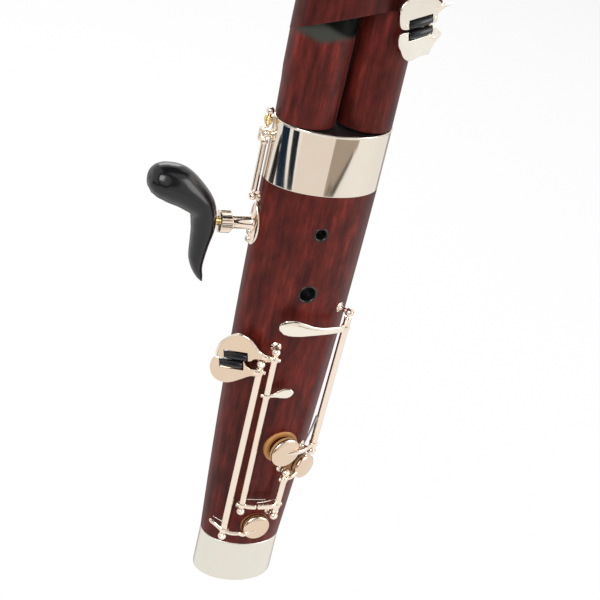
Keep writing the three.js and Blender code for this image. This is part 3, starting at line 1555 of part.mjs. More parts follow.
function addBoot() {
  const upperX = bootBoreX(-1, upperHoleHeight);
  const lowerX = bootBoreX(-1, lowerHoleHeight);
  const fingerHoles = [
    holeTool(bootHost, upperHoleDegrees, upperHoleHeight, upperHoleRadius, upperX, 18),
    holeTool(bootHost, lowerHoleDegrees, lowerHoleHeight, lowerHoleRadius, lowerX, 20),
  ];
  const innerXAt = (z) => bootBoreX(1, z);
  const front = [
    [aFlatCupDegrees, aFlatCupHeight, aFlatCupRadius],
    [fCupDegrees, fCupHeight, fCupRadius],
    [gCupDegrees, gCupHeight, gCupRadius],
  ].map(([degrees, z, radius]) => keyedHole(bootHost, degrees, z, radius, innerXAt(z)));
  const back = holesUnder(bootHost, bootBackKeys, woodFoot, woodTop, innerXAt);
  addWood('boot_body', bootBody, [...front, ...back], fingerHoles);
  addNode('boot_top_band', bootBand(), nickel);
  addNode('boot_bottom_cap', bootCap(), nickel);
  addNode('boot_bend', bendPiece(), brass);
  addNode('boot_bend_gasket', bendGasket(), cork);
}

function addUpperJoints() {
  const lappingTop = shoulderHeight - cutOverrun;
  addNode('wing_tenon_lapping', tenonLapping(wingAxisX, wingTenonRadius, lappingTop), thread);
  addNode('long_tenon_lapping', tenonLapping(longAxisX, wingTenonRadius, lappingTop), thread);
  const wingInner = () => wingAxisX;
  const longInner = () => longAxisX;
  const wingKeyed = holesUnder(wingHost, wingKeys, wingThickHeight, wingShoulderHeight, wingInner);
  addWood('wing_joint', wingJoint, wingKeyed);
  addNode('wing_top_ring', wingRing(), nickel);
  const plated = [cSharpKey, eFlatKey].map((key) => (
    keyedHole(longHost, key.cupDegrees, longUp(key.cupShare), key.cupRadius, longAxisX)
  ));
  const longKeyed = holesUnder(longHost, longKeys, bootHeight, longShoulderHeight, longInner);
  addWood('long_joint', longJoint, [...plated, ...longKeyed]);
  const bellKeyed = holesUnder(bellHost, bellKeys, bellWaistHeight, bellBulgeHeight, longInner);
  addWood('bell_joint', bellJoint, bellKeyed);
  addNode('bell_band', bellBand(), nickel);
  addNode('bell_ring', bellRing(), ivory);
}

function addCrookAndHandRest() {
  addNode('crook', crook(), nickel, { at: vec(crookX, 0, wingTopHeight), axis: zAxis });
  addNode('crook_cork', crookCork(), cork);
  addNode('reed', reedBody(), cane);
  addNode('hand_rest_plate', handPlate(), silver);
  addNode('hand_rest_nut', handNut(), silver, { at: handSocketEnd, axis: handAxis });
  addNode('hand_rest_stem', handStem(), brass, { at: handSocketEnd, axis: handAxis });
  addNode('hand_rest_crutch', crutch(), resin, { at: handNutEnd, axis: handAxis });
}

function addLevers(host, keys, from, to) {
  Object.entries(keys).forEach(([name, key]) => leverKey(name, host, from, to, key));
}

function build() {
  addBoot();
  addUpperJoints();
  addCrookAndHandRest();
  aFlatKey();
  fKey();
  fCupKey();
  gKey();
  addLevers(bootHost, bootBackKeys, woodFoot, woodTop);
  addLevers(wingHost, wingKeys, wingThickHeight, wingShoulderHeight);
  addLevers(longHost, longKeys, bootHeight, longShoulderHeight);
  addLevers(bellHost, bellKeys, bellWaistHeight, bellBulgeHeight);
  lockKey();
  const plane = longPlane();
  plateKey('low_c_sharp_key', plane, cSharpKey);
  plateKey('low_e_flat_key', plane, eFlatKey);
}

build();

export default group;
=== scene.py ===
import math
import bpy
import bmesh
from mathutils import Matrix, Vector


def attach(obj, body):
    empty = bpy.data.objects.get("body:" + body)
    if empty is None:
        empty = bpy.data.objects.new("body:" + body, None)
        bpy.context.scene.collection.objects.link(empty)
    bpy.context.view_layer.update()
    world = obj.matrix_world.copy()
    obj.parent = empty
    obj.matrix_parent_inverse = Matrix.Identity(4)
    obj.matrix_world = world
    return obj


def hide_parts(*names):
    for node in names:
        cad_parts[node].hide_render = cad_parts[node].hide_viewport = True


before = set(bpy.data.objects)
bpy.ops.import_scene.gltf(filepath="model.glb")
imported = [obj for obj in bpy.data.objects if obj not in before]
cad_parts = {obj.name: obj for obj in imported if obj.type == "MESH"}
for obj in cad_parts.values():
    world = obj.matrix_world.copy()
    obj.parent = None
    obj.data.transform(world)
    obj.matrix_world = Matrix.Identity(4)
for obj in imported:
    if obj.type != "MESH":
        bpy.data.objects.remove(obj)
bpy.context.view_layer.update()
MM = 0.001
Z = Vector((0, 0, 1))


# Camera, at the photograph's place

def make_camera():
    az, el, roll = math.radians(-24.58), math.radians(27.89), math.radians(13.29)
    back = Vector((math.sin(az) * math.cos(el), -math.cos(az) * math.cos(el), math.sin(el)))
    right = (-back).cross(Z).normalized()
    up = right.cross(-back)
    r2 = math.cos(roll) * right + math.sin(roll) * up
    u2 = -math.sin(roll) * right + math.cos(roll) * up
    data = bpy.data.cameras.new("camera")
    data.sensor_width = 36
    data.lens = 98.69
    data.clip_start, data.clip_end = 0.05, 60
    cam = bpy.data.objects.new("camera", data)
    bpy.context.scene.collection.objects.link(cam)
    place = Vector((0.00462, 0, 0.1865)) + back * 0.9146
    cam.matrix_world = Matrix.Translation(place) @ Matrix((r2, u2, back)).transposed().to_4x4()
    bpy.context.scene.camera = cam


make_camera()


# Sizes in millimetres, as the solids have them

BOOT_H, BAND_H, CAP_H = 296, 35, 28.5
TOP_W, TOP_D, FOOT_W, FOOT_D, SWELL = 32.5, 21, 24, 16.8, 1.5
WOOD_TOP = BOOT_H - BAND_H
GAP = 0.3
WING_FOOT, WING_THICK, WING_THICK_Z = 16, 16.8, 345
WING_SHOULDER, FLANGE_TOP, WING_NECK = 519, 540, 552
WING_TOP_R, WING_TOP = 12.6, 596
LEDGE_Z, LEDGE_RISE, FLANGE_D, FLANGE_REACH, FLANGE_SKIN = 344.7, 13, 21, 15, 0.25
LEDGE_TILT = 0.426
LONG_FOOT, LONG_TOP_R, LONG_TOP = 15.8, 13.4, 664
SHOULDER = BOOT_H + GAP
WING_X = -(0.45 + WING_FOOT)
LONG_X = 0.45 + LONG_FOOT
BELL_FOOT, BELL_WAIST, BELL_BULGE, BELL_NECK, BELL_BORE = 15.8, 13.6, 17, 14.6, 10.4
BELL_WAIST_Z, BELL_BULGE_Z = 712, 800
BELL_TOP, BELL_RING_H, BELL_RING_R = 893, 15, 18
ROD, BALL = 2.0, 2.5
OUT = 5.6


def lerp(a, b, t):
    return a + (b - a) * min(max(t, 0), 1)


def vec(x, y, z):
    return Vector((x, y, z))


# Hosts: the surfaces that carry keys

def boot_half(z):
    t = (z - CAP_H) / (WOOD_TOP - CAP_H)
    swell = max(0, 4 * SWELL * t * (1 - t))
    return lerp(FOOT_W, TOP_W, t) + swell, lerp(FOOT_D, TOP_D, t) + swell


def long_radius(z):
    return lerp(LONG_FOOT, LONG_TOP_R, (z - BOOT_H) / (LONG_TOP - BOOT_H))


def wing_radius(z):
    if z < WING_THICK_Z:
        return lerp(WING_FOOT, WING_THICK, (z - SHOULDER) / (WING_THICK_Z - SHOULDER))
    return lerp(WING_THICK, WING_TOP_R, (z - WING_SHOULDER) / (WING_NECK - WING_SHOULDER))


def wing_centre(z):
    r = wing_radius(z)
    return -(0.45 + r) if r > WING_FOOT else WING_X


def bell_radius(z):
    return lerp(BELL_WAIST, BELL_BULGE, (z - BELL_WAIST_Z) / (BELL_BULGE_Z - BELL_WAIST_Z))


BOOT = (lambda z: 0, boot_half)
WING = (wing_centre, lambda z: (wing_radius(z),) * 2)
LONG = (lambda z: LONG_X, lambda z: (long_radius(z),) * 2)
BELL = (lambda z: LONG_X, lambda z: (bell_radius(z),) * 2)


def normal(host, deg, z):
    a = math.radians(deg)
    w, d = host[1](z)
    return vec(math.cos(a) / w, math.sin(a) / d, 0).normalized()


def at(host, deg, z, out=0):
    a = math.radians(deg)
    w, d = host[1](z)
    return vec(host[0](z) + w * math.cos(a), d * math.sin(a), z) + normal(host, deg, z) * out


def across(host, deg, z, out=OUT):
    return (at(host, deg + 8, z, out) - at(host, deg, z, out)).normalized()


# Mesh making. A Geo gathers closed shells in millimetres, which one object then holds.

class Geo:
    def __init__(self, *shells):
        self.v, self.f = [], []
        for shell in shells:
            self.add(shell)

    def add(self, shell):
        verts, faces = (shell.v, shell.f) if isinstance(shell, Geo) else shell
        n = len(self.v)
        self.v += [Vector(p) for p in verts]
        self.f += [tuple(i + n for i in face) for face in faces]
        return self

    def turned(self, point, axis, degrees):
        turn = Matrix.Rotation(math.radians(degrees), 4, axis)
        m = Matrix.Translation(point) @ turn @ Matrix.Translation(-point)
        self.v = [m @ p for p in self.v]
        return self


def loft(rings, ends=True, closed=False):
    n, m = len(rings[0]), len(rings)
    verts = [p for ring in rings for p in ring]
    faces = []
    for k in range(m if closed else m - 1):
        for i in range(n):
            a, b, c = k * n + i, k * n + (i + 1) % n, ((k + 1) % m) * n
            faces.append((a, b, c + (i + 1) % n, c + i))
    if ends and not closed:
        faces.append(tuple(reversed(range(n))))
        faces.append(tuple(range((m - 1) * n, m * n)))
    return Geo((verts, faces))


def basis(direction):
    """The direction as a unit vector, with two unit vectors square to it."""
    along = direction.normalized()
    hint = Vector((1, 0, 0)) if abs(along.dot(Z)) > 0.95 else Z
    side = hint.cross(along).normalized()
    return along, side, along.cross(side)


def circle(centre, side, over, rx, ry, sides):
    turns = [2 * math.pi * i / sides for i in range(sides)]
    return [centre + side * (rx * math.cos(a)) + over * (ry * math.sin(a)) for a in turns]


def lathe(profile, origin, axis, sides, closed=False):
    """A turned skin from (radius, height) corners along the axis."""
    along, side, over = basis(axis)
    rings = [circle(origin + along * h, side, over, max(r, 1e-4), max(r, 1e-4), sides) for r, h in profile]
    return loft(rings, closed=closed)


def rod(a, b, radius, sides, edge):
    length = (b - a).length
    return lathe([(radius - edge, 0), (radius, edge), (radius, length - edge), (radius - edge, length)],
                 a, b - a, sides)


def ball(centre, radius, axis):
    turns = [math.pi * i / 14 for i in range(15)]
    return lathe([(radius * math.sin(t), -radius * math.cos(t)) for t in turns], centre, axis, 28)


def crom(p0, p1, p2, p3, w):
    """The place at share w between p1 and p2 on a centripetal curve."""
    d0, d1, d2 = ((a - b).length_squared ** 0.25 for a, b in ((p0, p1), (p1, p2), (p2, p3)))
    d1 = d1 if d1 > 1e-4 else 1.0
    d0 = d0 if d0 > 1e-4 else d1
    d2 = d2 if d2 > 1e-4 else d1
    t1 = ((p1 - p0) / d0 - (p2 - p0) / (d0 + d1) + (p2 - p1) / d1) * d1
    t2 = ((p2 - p1) / d1 - (p3 - p1) / (d1 + d2) + (p3 - p2) / d2) * d1
    return p1 + t1 * w + (-3 * p1 + 3 * p2 - 2 * t1 - t2) * w * w + (2 * p1 - 2 * p2 + t1 + t2) * w * w * w


def spline(points, steps, closed=False):
    n = len(points)
    out = []
    spans = n if closed else n - 1
    for k in range(spans):
        if closed:
            p0, p1, p2, p3 = (points[(k + j) % n] for j in (-1, 0, 1, 2))
        else:
            p1, p2 = points[k], points[k + 1]
            p0 = points[k - 1] if k else 2 * p1 - p2
            p3 = points[k + 2] if k + 2 < n else 2 * p2 - p1
        out += [crom(p0, p1, p2, p3, j / steps) for j in range(steps)]
    return out if closed else out + [points[-1].copy()]


def sweep(points, radii, sides):
    """A round bar along the points, with one radius for each."""
    rings = []
    side = None
    for i, p in enumerate(points):
        along = (points[min(i + 1, len(points) - 1)] - points[max(i - 1, 0)]).normalized()
        if side is None:
            _, side, _ = basis(along)
        side = (side - along * side.dot(along)).normalized()
        rings.append(circle(p, side, along.cross(side), radii[i], radii[i], sides))
    return loft(rings)


def strip(stations, out, sides=20, crown=0.75):
    """A soft-edged strip through stations of (point, half width, half thickness, facing)."""
    points = [s[0] for s in stations]
    facing = [Vector(s[3]) if len(s) > 3 and s[3] is not None else Vector(out) for s in stations]
    sizes = spline([Vector((s[1], s[2], 0)) for s in stations], 6)
    path = spline(points, 6)
    faces = spline(facing, 6)
    rings = []
    last = len(path) - 1
    for i, p in enumerate(path):
        along = (path[min(i + 1, last)] - path[max(i - 1, 0)]).normalized()
        face = faces[i] - along * faces[i].dot(along)
        face.normalize()
        side = along.cross(face)
        w, t = max(sizes[i].x, 0.05), max(sizes[i].y, 0.05)
        ring = []
        for k in range(sides):
            a = 2 * math.pi * k / sides
            c, s = math.cos(a), math.sin(a)
            u = -w * math.copysign(abs(c) ** 0.8, c)
            ring.append(p + side * u + face * (t * math.copysign(abs(s) ** crown, s)))
        rings.append(ring)
    for end, sign in ((0, -1), (last, 1)):
        along = (path[min(end + 1, last)] - path[max(end - 1, 0)]).normalized()
        w = sizes[end].x
        middle = path[end]
        tips = [[middle + (q - middle) * s + along * (sign * w * o) for q in rings[0 if end == 0 else -1]]
                for s, o in ((0.86, 0.28), (0.5, 0.5), (0.05, 0.58))]
        rings = list(reversed(tips)) + rings if end == 0 else rings + tips
    return loft(rings)


def slab(outline, thickness, origin, p_axis, q_axis):
    out = p_axis.cross(q_axis)
    low = [origin + p_axis * p + q_axis * q - out * (thickness / 2) for p, q in outline]
    high = [p + out * thickness for p in low]
    return loft([low, high])


MATERIALS = {}
WELD = 2e-6
BEVEL_STEPS, BEVEL_FROM, FLAT_FACES_LEAD = 3, 32, 90


def bake(obj, name):
    """Replace an object's mesh by the one that its modifiers make."""
    bpy.context.view_layer.update()
    dg = bpy.context.evaluated_depsgraph_get()
    made = bpy.data.meshes.new_from_object(obj.evaluated_get(dg), preserve_all_data_layers=True, depsgraph=dg)
    obj.modifiers.clear()
    obj.data = made
    made.name = name


def build(name, geo, look, body, replaces=(), angle=38, bevel=0.0, cutters=()):
    """Make one piece of a Geo, cut and bevelled, and set it on its CAD body."""
    mesh = bpy.data.meshes.new(name)
    mesh.from_pydata([(p.x * MM, p.y * MM, p.z * MM) for p in geo.v], [], geo.f)
    bm = bmesh.new()
    bm.from_mesh(mesh)
    bmesh.ops.remove_doubles(bm, verts=bm.verts, dist=WELD)
    bmesh.ops.dissolve_degenerate(bm, dist=WELD / 2, edges=bm.edges)
    bmesh.ops.recalc_face_normals(bm, faces=bm.faces)
    bm.to_mesh(mesh)
    bm.free()
    obj = bpy.data.objects.new(name, mesh)
    bpy.context.scene.collection.objects.link(obj)
    tools = []
    for k, cutter in enumerate(cutters):
        tool = build(f"{name}_tool{k}", cutter, look, None)
        tools.append(tool)
        m = obj.modifiers.new("cut", "BOOLEAN")
        m.operation, m.solver, m.object = "DIFFERENCE", "EXACT", tool
    if bevel:
        m = obj.modifiers.new("edge", "BEVEL")
        m.width, m.segments, m.limit_method = bevel * MM, BEVEL_STEPS, "ANGLE"
        m.angle_limit = math.radians(BEVEL_FROM)
    if obj.modifiers:
        bake(obj, name)
    for tool in tools:
        bpy.data.objects.remove(tool)
    obj.data.polygons.foreach_set("use_smooth", [True] * len(obj.data.polygons))
    obj.data.set_sharp_from_angle(angle=math.radians(angle))
    if bevel:
        m = obj.modifiers.new("normals", "WEIGHTED_NORMAL")
        m.keep_sharp, m.weight = True, FLAT_FACES_LEAD
        bake(obj, name)
    obj.data.materials.clear()
    obj.data.materials.append(MATERIALS[look])
    if body:
        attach(obj, body)
        if replaces:
            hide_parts(*replaces)
    return obj


# Materials

def new_material(name, **sockets):
    m = bpy.data.materials.new(name)
    m.use_nodes = True
    shader = m.node_tree.nodes["Principled BSDF"]
    for key, value in sockets.items():
        shader.inputs[key.replace("_", " ")].default_value = value
    MATERIALS[name] = m
    return m, m.node_tree, shader


def add_node(tree, kind, **values):
    n = tree.nodes.new(kind)
    for key, value in values.items():
        if key in n.inputs:
            n.inputs[key].default_value = value
        else:
            setattr(n, key, value)
    return n


def stretched_noise(tree, scale, size, detail, rough):
    coords = add_node(tree, "ShaderNodeTexCoord")
    mapping = add_node(tree, "ShaderNodeMapping")
    mapping.inputs["Scale"].default_value = scale
    tree.links.new(coords.outputs["Object"], mapping.inputs["Vector"])
    noise = add_node(tree, "ShaderNodeTexNoise", Scale=size, Detail=detail, Roughness=rough)
    tree.links.new(mapping.outputs["Vector"], noise.inputs["Vector"])
    return noise.outputs["Fac"]


def ramp(tree, source, stops):
    r = tree.nodes.new("ShaderNodeValToRGB")
    while len(r.color_ramp.elements) < len(stops):
        r.color_ramp.elements.new(0.5)
    for e, (place, colour) in zip(r.color_ramp.elements, stops):
        e.position = place
        e.color = (*colour, 1)
    tree.links.new(source, r.inputs["Fac"])
    return r.outputs["Color"]


def ranged(tree, source, low, high):
    """A value that runs from low to high as its source runs from 0 to 1."""
    r = add_node(tree, "ShaderNodeMapRange")
    r.inputs["To Min"].default_value, r.inputs["To Max"].default_value = low, high
    tree.links.new(source, r.inputs["Value"])
    return r.outputs["Result"]


def joined(tree, operation, a, b):
    n = add_node(tree, "ShaderNodeMath", operation=operation)
    tree.links.new(a, n.inputs[0])
    tree.links.new(b, n.inputs[1])
    return n.outputs[0]


def bump(tree, shader, source, strength, distance):
    b = add_node(tree, "ShaderNodeBump", Strength=strength, Distance=distance)
    tree.links.new(source, b.inputs["Height"])
    tree.links.new(b.outputs["Normal"], shader.inputs["Normal"])


def mix_colour(tree, kind, factor, a, b):
    m = tree.nodes.new("ShaderNodeMix")
    m.data_type, m.blend_type = "RGBA", kind
    if isinstance(factor, float):
        m.inputs[0].default_value = factor
    else:
        tree.links.new(factor, m.inputs[0])
    for socket, value in ((m.inputs[6], a), (m.inputs[7], b)):
        if isinstance(value, tuple):
            socket.default_value = (*value, 1)
        else:
            tree.links.new(value, socket)
    return m.outputs[2]


# Gloss of plain wood, and the lower gloss where the scoop's painted shade lies
WOOD_GLOSS = {"Specular IOR Level": (0.13, 0.03), "Coat Weight": (0.06, 0), "Sheen Weight": (0.07, 0)}
GRAIN = [(0.28, (0.045, 0.0058, 0.0042)), (0.44, (0.078, 0.0098, 0.0068)), (0.58, (0.108, 0.014, 0.0098)),
         (0.74, (0.175, 0.026, 0.018))]
# Scale, size, detail, roughness and stops of the noises that tint the grain
WOOD_LAYERS = [
    ((1, 1, 0.1), 48, 3, 0.5, [(0.34, (0.7, 0.76, 0.8)), (0.5, (0.98, 0.98, 0.98)),
                               (0.66, (1.26, 1.14, 1.1))]),
    ((1, 1, 0.6), 130, 5, 0.65, [(0.34, (0.68, 0.76, 0.82)), (0.52, (1, 1, 1)), (0.7, (1.42, 1.2, 1.14))]),
    ((1, 1, 0.07), 900, 5, 0.65, [(0.3, (0.8, 0.82, 0.84)), (0.55, (1, 1, 1)), (0.75, (1.16, 1.12, 1.1))]),
]
ABOVE_LEDGE = (0.62, 0.68, 0.7)
# Painted shade and reflection for the wing's scoop below the ledge, a near-black painted shadow for its darkest
# wedge, and the planes and levels that bound them
COVE_SHADE_AND_REFLECTION, COVE_PAINTED_SHADOW = (0.044, 0.045, 0.038), (0.004, 0.005, 0.004)
COVE_WEDGE = ((0.4, 0, 0.916), -0.3122, 0.0036)
COVE_FRONT = ((0, -1, 0), -0.001, 0.004)
COVE_EDGE, COVE_DROP, COVE_SOFT = 0.0003, 0.0135, 0.005
COVE_RISE, COVE_RISE_LEVEL = 0.8, 0.0315


def wood_material(name, plane=None, level=0):
    """Red-brown stained maple under satin lacquer. A ledge plane adds painted shade and a painted reflection in
    the scoop below it, a painted shadow in its darkest wedge, and darker wood above the ledge.
    """
    m, tree, shader = new_material(name, Coat_Roughness=0.16, Coat_IOR=1.4, Sheen_Roughness=0.3,
                                   Sheen_Tint=(1.0, 0.92, 0.88, 1))
    for socket, (plain, _) in WOOD_GLOSS.items():
        shader.inputs[socket].default_value = plain
    colour = ramp(tree, stretched_noise(tree, (1, 1, 0.13), 270, 6, 0.62), GRAIN)
    for scale, size, detail, rough, stops in WOOD_LAYERS:
        fine = stretched_noise(tree, scale, size, detail, rough)
        colour = mix_colour(tree, "MULTIPLY", 1.0, colour, ramp(tree, fine, stops))
    if plane:
        share, above, wedge = cove_shares(tree, plane, level)
        colour = mix_colour(tree, "MULTIPLY", above, colour, ABOVE_LEDGE)
        # Painted shade and reflection in the scoop, painted shadow in its dark wedge, and less gloss there
        colour = mix_colour(tree, "MIX", share, colour, COVE_SHADE_AND_REFLECTION)
        colour = mix_colour(tree, "MIX", wedge, colour, COVE_PAINTED_SHADOW)
        for socket, (plain, in_painted_shade) in WOOD_GLOSS.items():
            tree.links.new(ranged(tree, share, plain, in_painted_shade), shader.inputs[socket])
    tree.links.new(colour, shader.inputs["Base Color"])
    tree.links.new(ranged(tree, fine, 0.3, 0.46), shader.inputs["Roughness"])
    bump(tree, shader, fine, 0.05, 0.0003)


def linear_share(tree, coords, weights, level, soft):
    """0 where weights . place + level is below 0 and 1 where it is above soft."""
    dot = add_node(tree, "ShaderNodeVectorMath", operation="DOT_PRODUCT")
    dot.inputs[1].default_value = weights
    tree.links.new(coords.outputs["Object"], dot.inputs[0])
    fade = add_node(tree, "ShaderNodeMapRange", interpolation_type="SMOOTHSTEP")
    fade.inputs["From Min"].default_value, fade.inputs["From Max"].default_value = -level, soft - level
    tree.links.new(dot.outputs["Value"], fade.inputs["Value"])
    return fade.outputs["Result"]


def cove_shares(tree, plane, level):
    """How much a place takes of the scoop's painted shade, lies above the ledge, and takes of the painted
    shadow in the dark wedge.
    """
    coords = add_node(tree, "ShaderNodeTexCoord")
    flip = [-w for w in plane]
    share = linear_share(tree, coords, plane, level, COVE_EDGE)
    above = linear_share(tree, coords, flip, -level, COVE_EDGE)
    slant = [flip[0] + COVE_RISE, flip[1], flip[2]]
    for limit in ((slant, COVE_RISE_LEVEL - level, COVE_SOFT), (flip, COVE_DROP - level, COVE_SOFT),
                  COVE_FRONT):
        share = joined(tree, "MULTIPLY", share, linear_share(tree, coords, *limit))
    return share, above, joined(tree, "MULTIPLY", share, linear_share(tree, coords, *COVE_WEDGE))


def metal_material(name, colour, rough, tint, scratch=0.02):
    m, tree, shader = new_material(name, Metallic=1.0)
    cloud = stretched_noise(tree, (1, 1, 1), 90, 4, 0.5)
    fine = stretched_noise(tree, (1, 1, 0.15), 900, 3, 0.6)
    tone = ramp(tree, cloud, [(0.3, tuple(c * t for c, t in zip(colour, tint))), (0.7, colour)])
    tree.links.new(tone, shader.inputs["Base Color"])
    tree.links.new(ranged(tree, cloud, rough * 0.75, rough * 1.3), shader.inputs["Roughness"])
    bump(tree, shader, fine, scratch, 0.0001)


def plain_material(name, low, high, rough, size, bump_size, strength, scale=(1, 1, 1), **sockets):
    m, tree, shader = new_material(name, **sockets)
    noise = stretched_noise(tree, scale, size, 5, 0.6)
    tree.links.new(ramp(tree, noise, [(0.3, low), (0.7, high)]), shader.inputs["Base Color"])
    tree.links.new(ranged(tree, noise, rough * 0.8, rough * 1.2), shader.inputs["Roughness"])
    bump(tree, shader, stretched_noise(tree, scale, bump_size, 4, 0.6), strength, 0.0003)


LEDGE_SLOPE = LEDGE_RISE / (FLANGE_REACH + 0.45 + WING_THICK + WING_THICK + FLANGE_SKIN)
LEDGE_LEVEL = (LEDGE_Z + LEDGE_SLOPE * (0.45 + 2 * WING_THICK + FLANGE_SKIN)) / 1000
wood_material("maple")
wood_material("maple_wing", (LEDGE_SLOPE, -LEDGE_TILT, -1), LEDGE_LEVEL)
METALS = {
    "silver": ((0.885, 0.765, 0.65), 0.1, (0.98, 0.955, 0.92)),
    "rose": ((0.775, 0.615, 0.475), 0.14, (0.985, 0.95, 0.9)),
    "pearl": ((0.88, 0.82, 0.72), 0.1, (0.985, 0.97, 0.94)),
    "mirror": ((0.775, 0.71, 0.62), 0.045, (0.99, 0.97, 0.94), 0.006),
    "satin": ((0.80, 0.765, 0.68), 0.3, (0.98, 0.97, 0.95), 0.03),
    "plate": ((0.81, 0.755, 0.67), 0.16, (0.985, 0.97, 0.94)),
    "brass": ((0.80, 0.60, 0.28), 0.2, (0.95, 0.92, 0.85)),
    "steel": ((0.42, 0.43, 0.46), 0.2, (0.9, 0.9, 0.9)),
}
for look, values in METALS.items():
    metal_material(look, *values)
LENGTHWISE = {"scale": (1, 1, 0.3)}
PLAIN = {
    "resin": ((0.004, 0.004, 0.005), (0.007, 0.007, 0.008), 0.22, 60, 500, 0.02,
              {"Specular_IOR_Level": 0.32, "Coat_Weight": 0.2, "Coat_Roughness": 0.1}),
    "liner": ((0.004, 0.004, 0.004), (0.008, 0.008, 0.008), 0.25, 60, 500, 0.02, {}),
    "leather": ((0.40, 0.22, 0.085), (0.56, 0.33, 0.14), 0.62, 400, 1500, 0.25, {"Sheen_Weight": 0.15}),
    "seat": ((0.22, 0.085, 0.035), (0.34, 0.15, 0.06), 0.4, 200, 900, 0.1, LENGTHWISE),
    "seat_gold": ((0.33, 0.14, 0.042), (0.5, 0.235, 0.07), 0.36, 200, 900, 0.1, LENGTHWISE),
    # This near-black look is painted shade, used for the boot's top face
    "painted_shade_black": ((0.006, 0.003, 0.003), (0.012, 0.005, 0.004), 0.5, 200, 900, 0.1, LENGTHWISE),
    "cork": ((0.30, 0.17, 0.08), (0.55, 0.36, 0.2), 0.85, 700, 1600, 0.6, {}),
    "thread": ((0.16, 0.012, 0.012), (0.27, 0.03, 0.03), 0.7, 500, 900, 0.5,
               {"scale": (1, 1, 6), "Sheen_Weight": 0.3}),
    "cane": ((0.52, 0.36, 0.13), (0.72, 0.55, 0.27), 0.5, 350, 1200, 0.3, {"scale": (0.2, 0.2, 0.2)}),
    "ivory": ((0.70, 0.64, 0.50), (0.80, 0.75, 0.63), 0.28, 60, 400, 0.05,
              {"scale": (1, 1, 3), "Coat_Weight": 0.2}),
}
for look, (*values, more) in PLAIN.items():
    plain_material(look, *values, **more)


# Boot

def oval(z, w, d, grow, sides):
    return [vec((w + grow) * math.cos(2 * math.pi * i / sides),
                (d + grow) * math.sin(2 * math.pi * i / sides), z)
            for i in range(sides)]


def boot_ring(z, grow=0.0):
    w, d = boot_half(z)
    return oval(z, w, d, grow, 160)


def lined_hole(name, host, deg, z, radius):
    mouth = at(host, deg, z)
    out = normal(host, deg, z)
    r = radius
    profile = [(r, -7), (r, -0.7), (r + 0.15, -0.25), (r + 0.5, 0.0), (r + 0.85, 0.12), (r + 1.15, 0.02),
               (r + 1.3, -0.3), (r + 1.3, -7)]
    cup = lathe(profile, mouth, out, 64, closed=True)
    cup.add(lathe([(0, -6.4), (r + 0.4, -6.4), (r + 0.4, -7), (0, -7)], mouth, out, 24))
    build(name, cup, "liner", "bassoon", angle=50)
    return lathe([(r + 1.25, -9), (r + 1.25, 6)], mouth, out, 64)


def tone_seat(host, deg, z, radius, sides=36, cut=0.2, well=0.3, hole=0.6):
    """A raised seat round a tone hole."""
    foot = at(host, deg, z, -1.5)
    out = at(host, deg, z, 0.8) - foot
    return lathe([(radius, 0), (radius - cut, 2.3), (radius * hole, 2.3), (radius * hole, well)], foot, out,
                 sides)


def make_boot():
    cutters = [lined_hole("upper_finger_hole", BOOT, -92.7, 238.6, 2.8),
               lined_hole("lower_finger_hole", BOOT, -92.2, 202.1, 4.1)]
    rings = [boot_ring(24, -1.5), boot_ring(CAP_H + 0.1, -1.5), boot_ring(CAP_H + 0.12, -0.15),
             boot_ring(CAP_H + 0.3, 0)]
    rings += [boot_ring(lerp(CAP_H, WOOD_TOP, k / 20)) for k in range(1, 20)]
    rings += [boot_ring(WOOD_TOP - 0.35, 0), boot_ring(WOOD_TOP - 0.1, -0.15),
              boot_ring(WOOD_TOP - 0.08, -1.3), boot_ring(294.8, -1.3)]
    build("boot_wood", loft(rings), "maple", "bassoon", ["boot_body"], cutters=cutters, angle=30)
    # A near-black disc on the boot's top face: painted shade round the feet of the joints
    build("boot_top_painted_shade", loft([boot_ring(294.7, -1.5), boot_ring(294.95, -1.5)]), "painted_shade_black", "bassoon",
          angle=30)
    seats = [tone_seat(BOOT, *row, 40, well=0.2) for row in BOOT_SEATS]
    build("boot_tone_seats", Geo(*seats), "maple", "bassoon")


def make_fittings():
    z0, z1 = WOOD_TOP, BOOT_H
    profile = [(-1.2, z0), (-0.1, z0), (0.0, z0 + 0.15), (0.0, z0 + 0.4), (0.0, z0 + 0.8), (0.0, z0 + 2.0),
               (0.0, z1 - 2.4), (0.0, z1 - 1.5), (0.0, z1 - 1.1), (0.16, z1 - 0.9), (0.3, z1 - 0.55),
               (0.24, z1 - 0.2), (0.0, z1), (-0.75, z1), (-1.15, z1 - 0.2), (-1.25, z1 - 0.8), (-1.2, z1 - 1.6)]
    w, d = boot_half(WOOD_TOP)
    band = loft([oval(z, w, d, grow, 200) for grow, z in profile], closed=True)
    build("boot_top_band_polished", band, "mirror", "bassoon", ["boot_top_band"], angle=50)
    w, d = boot_half(0)
    rings = [oval(0, w * 0.02, d * 0.02, 0, 200), oval(0, w, d, -2.6, 200)]
    for k in range(7):
        a = math.pi / 2 * k / 6
        rings.append(oval(2.4 * (1 - math.cos(a)), w, d, -2.4 * (1 - math.sin(a)), 200))
    upper = ((0, 3), (0, 4), (0, 8), (0, 26.6), (0, 27.6), (0, 28.1), (-0.1, 28.4), (-0.3, CAP_H),
             (-1, CAP_H), (-1.3, 28.2), (-1.3, 22))
    rings += [oval(z, w, d, grow, 200) for grow, z in upper]
    build("boot_cap_polished", loft(rings), "satin", "bassoon", ["boot_bottom_cap"], angle=50)


BOOT_SEATS = [(-87, 43.6, 6.2), (-43, 85.5, 5.7), (-79.5, 100.5, 7.4), (92, 121.5, 6.8), (90, 61.05, 4.6),
              (90, 219.15, 4.2)]


# Wing joint: one skin whose columns run up the tube, under the ledge and up the drawn-out front

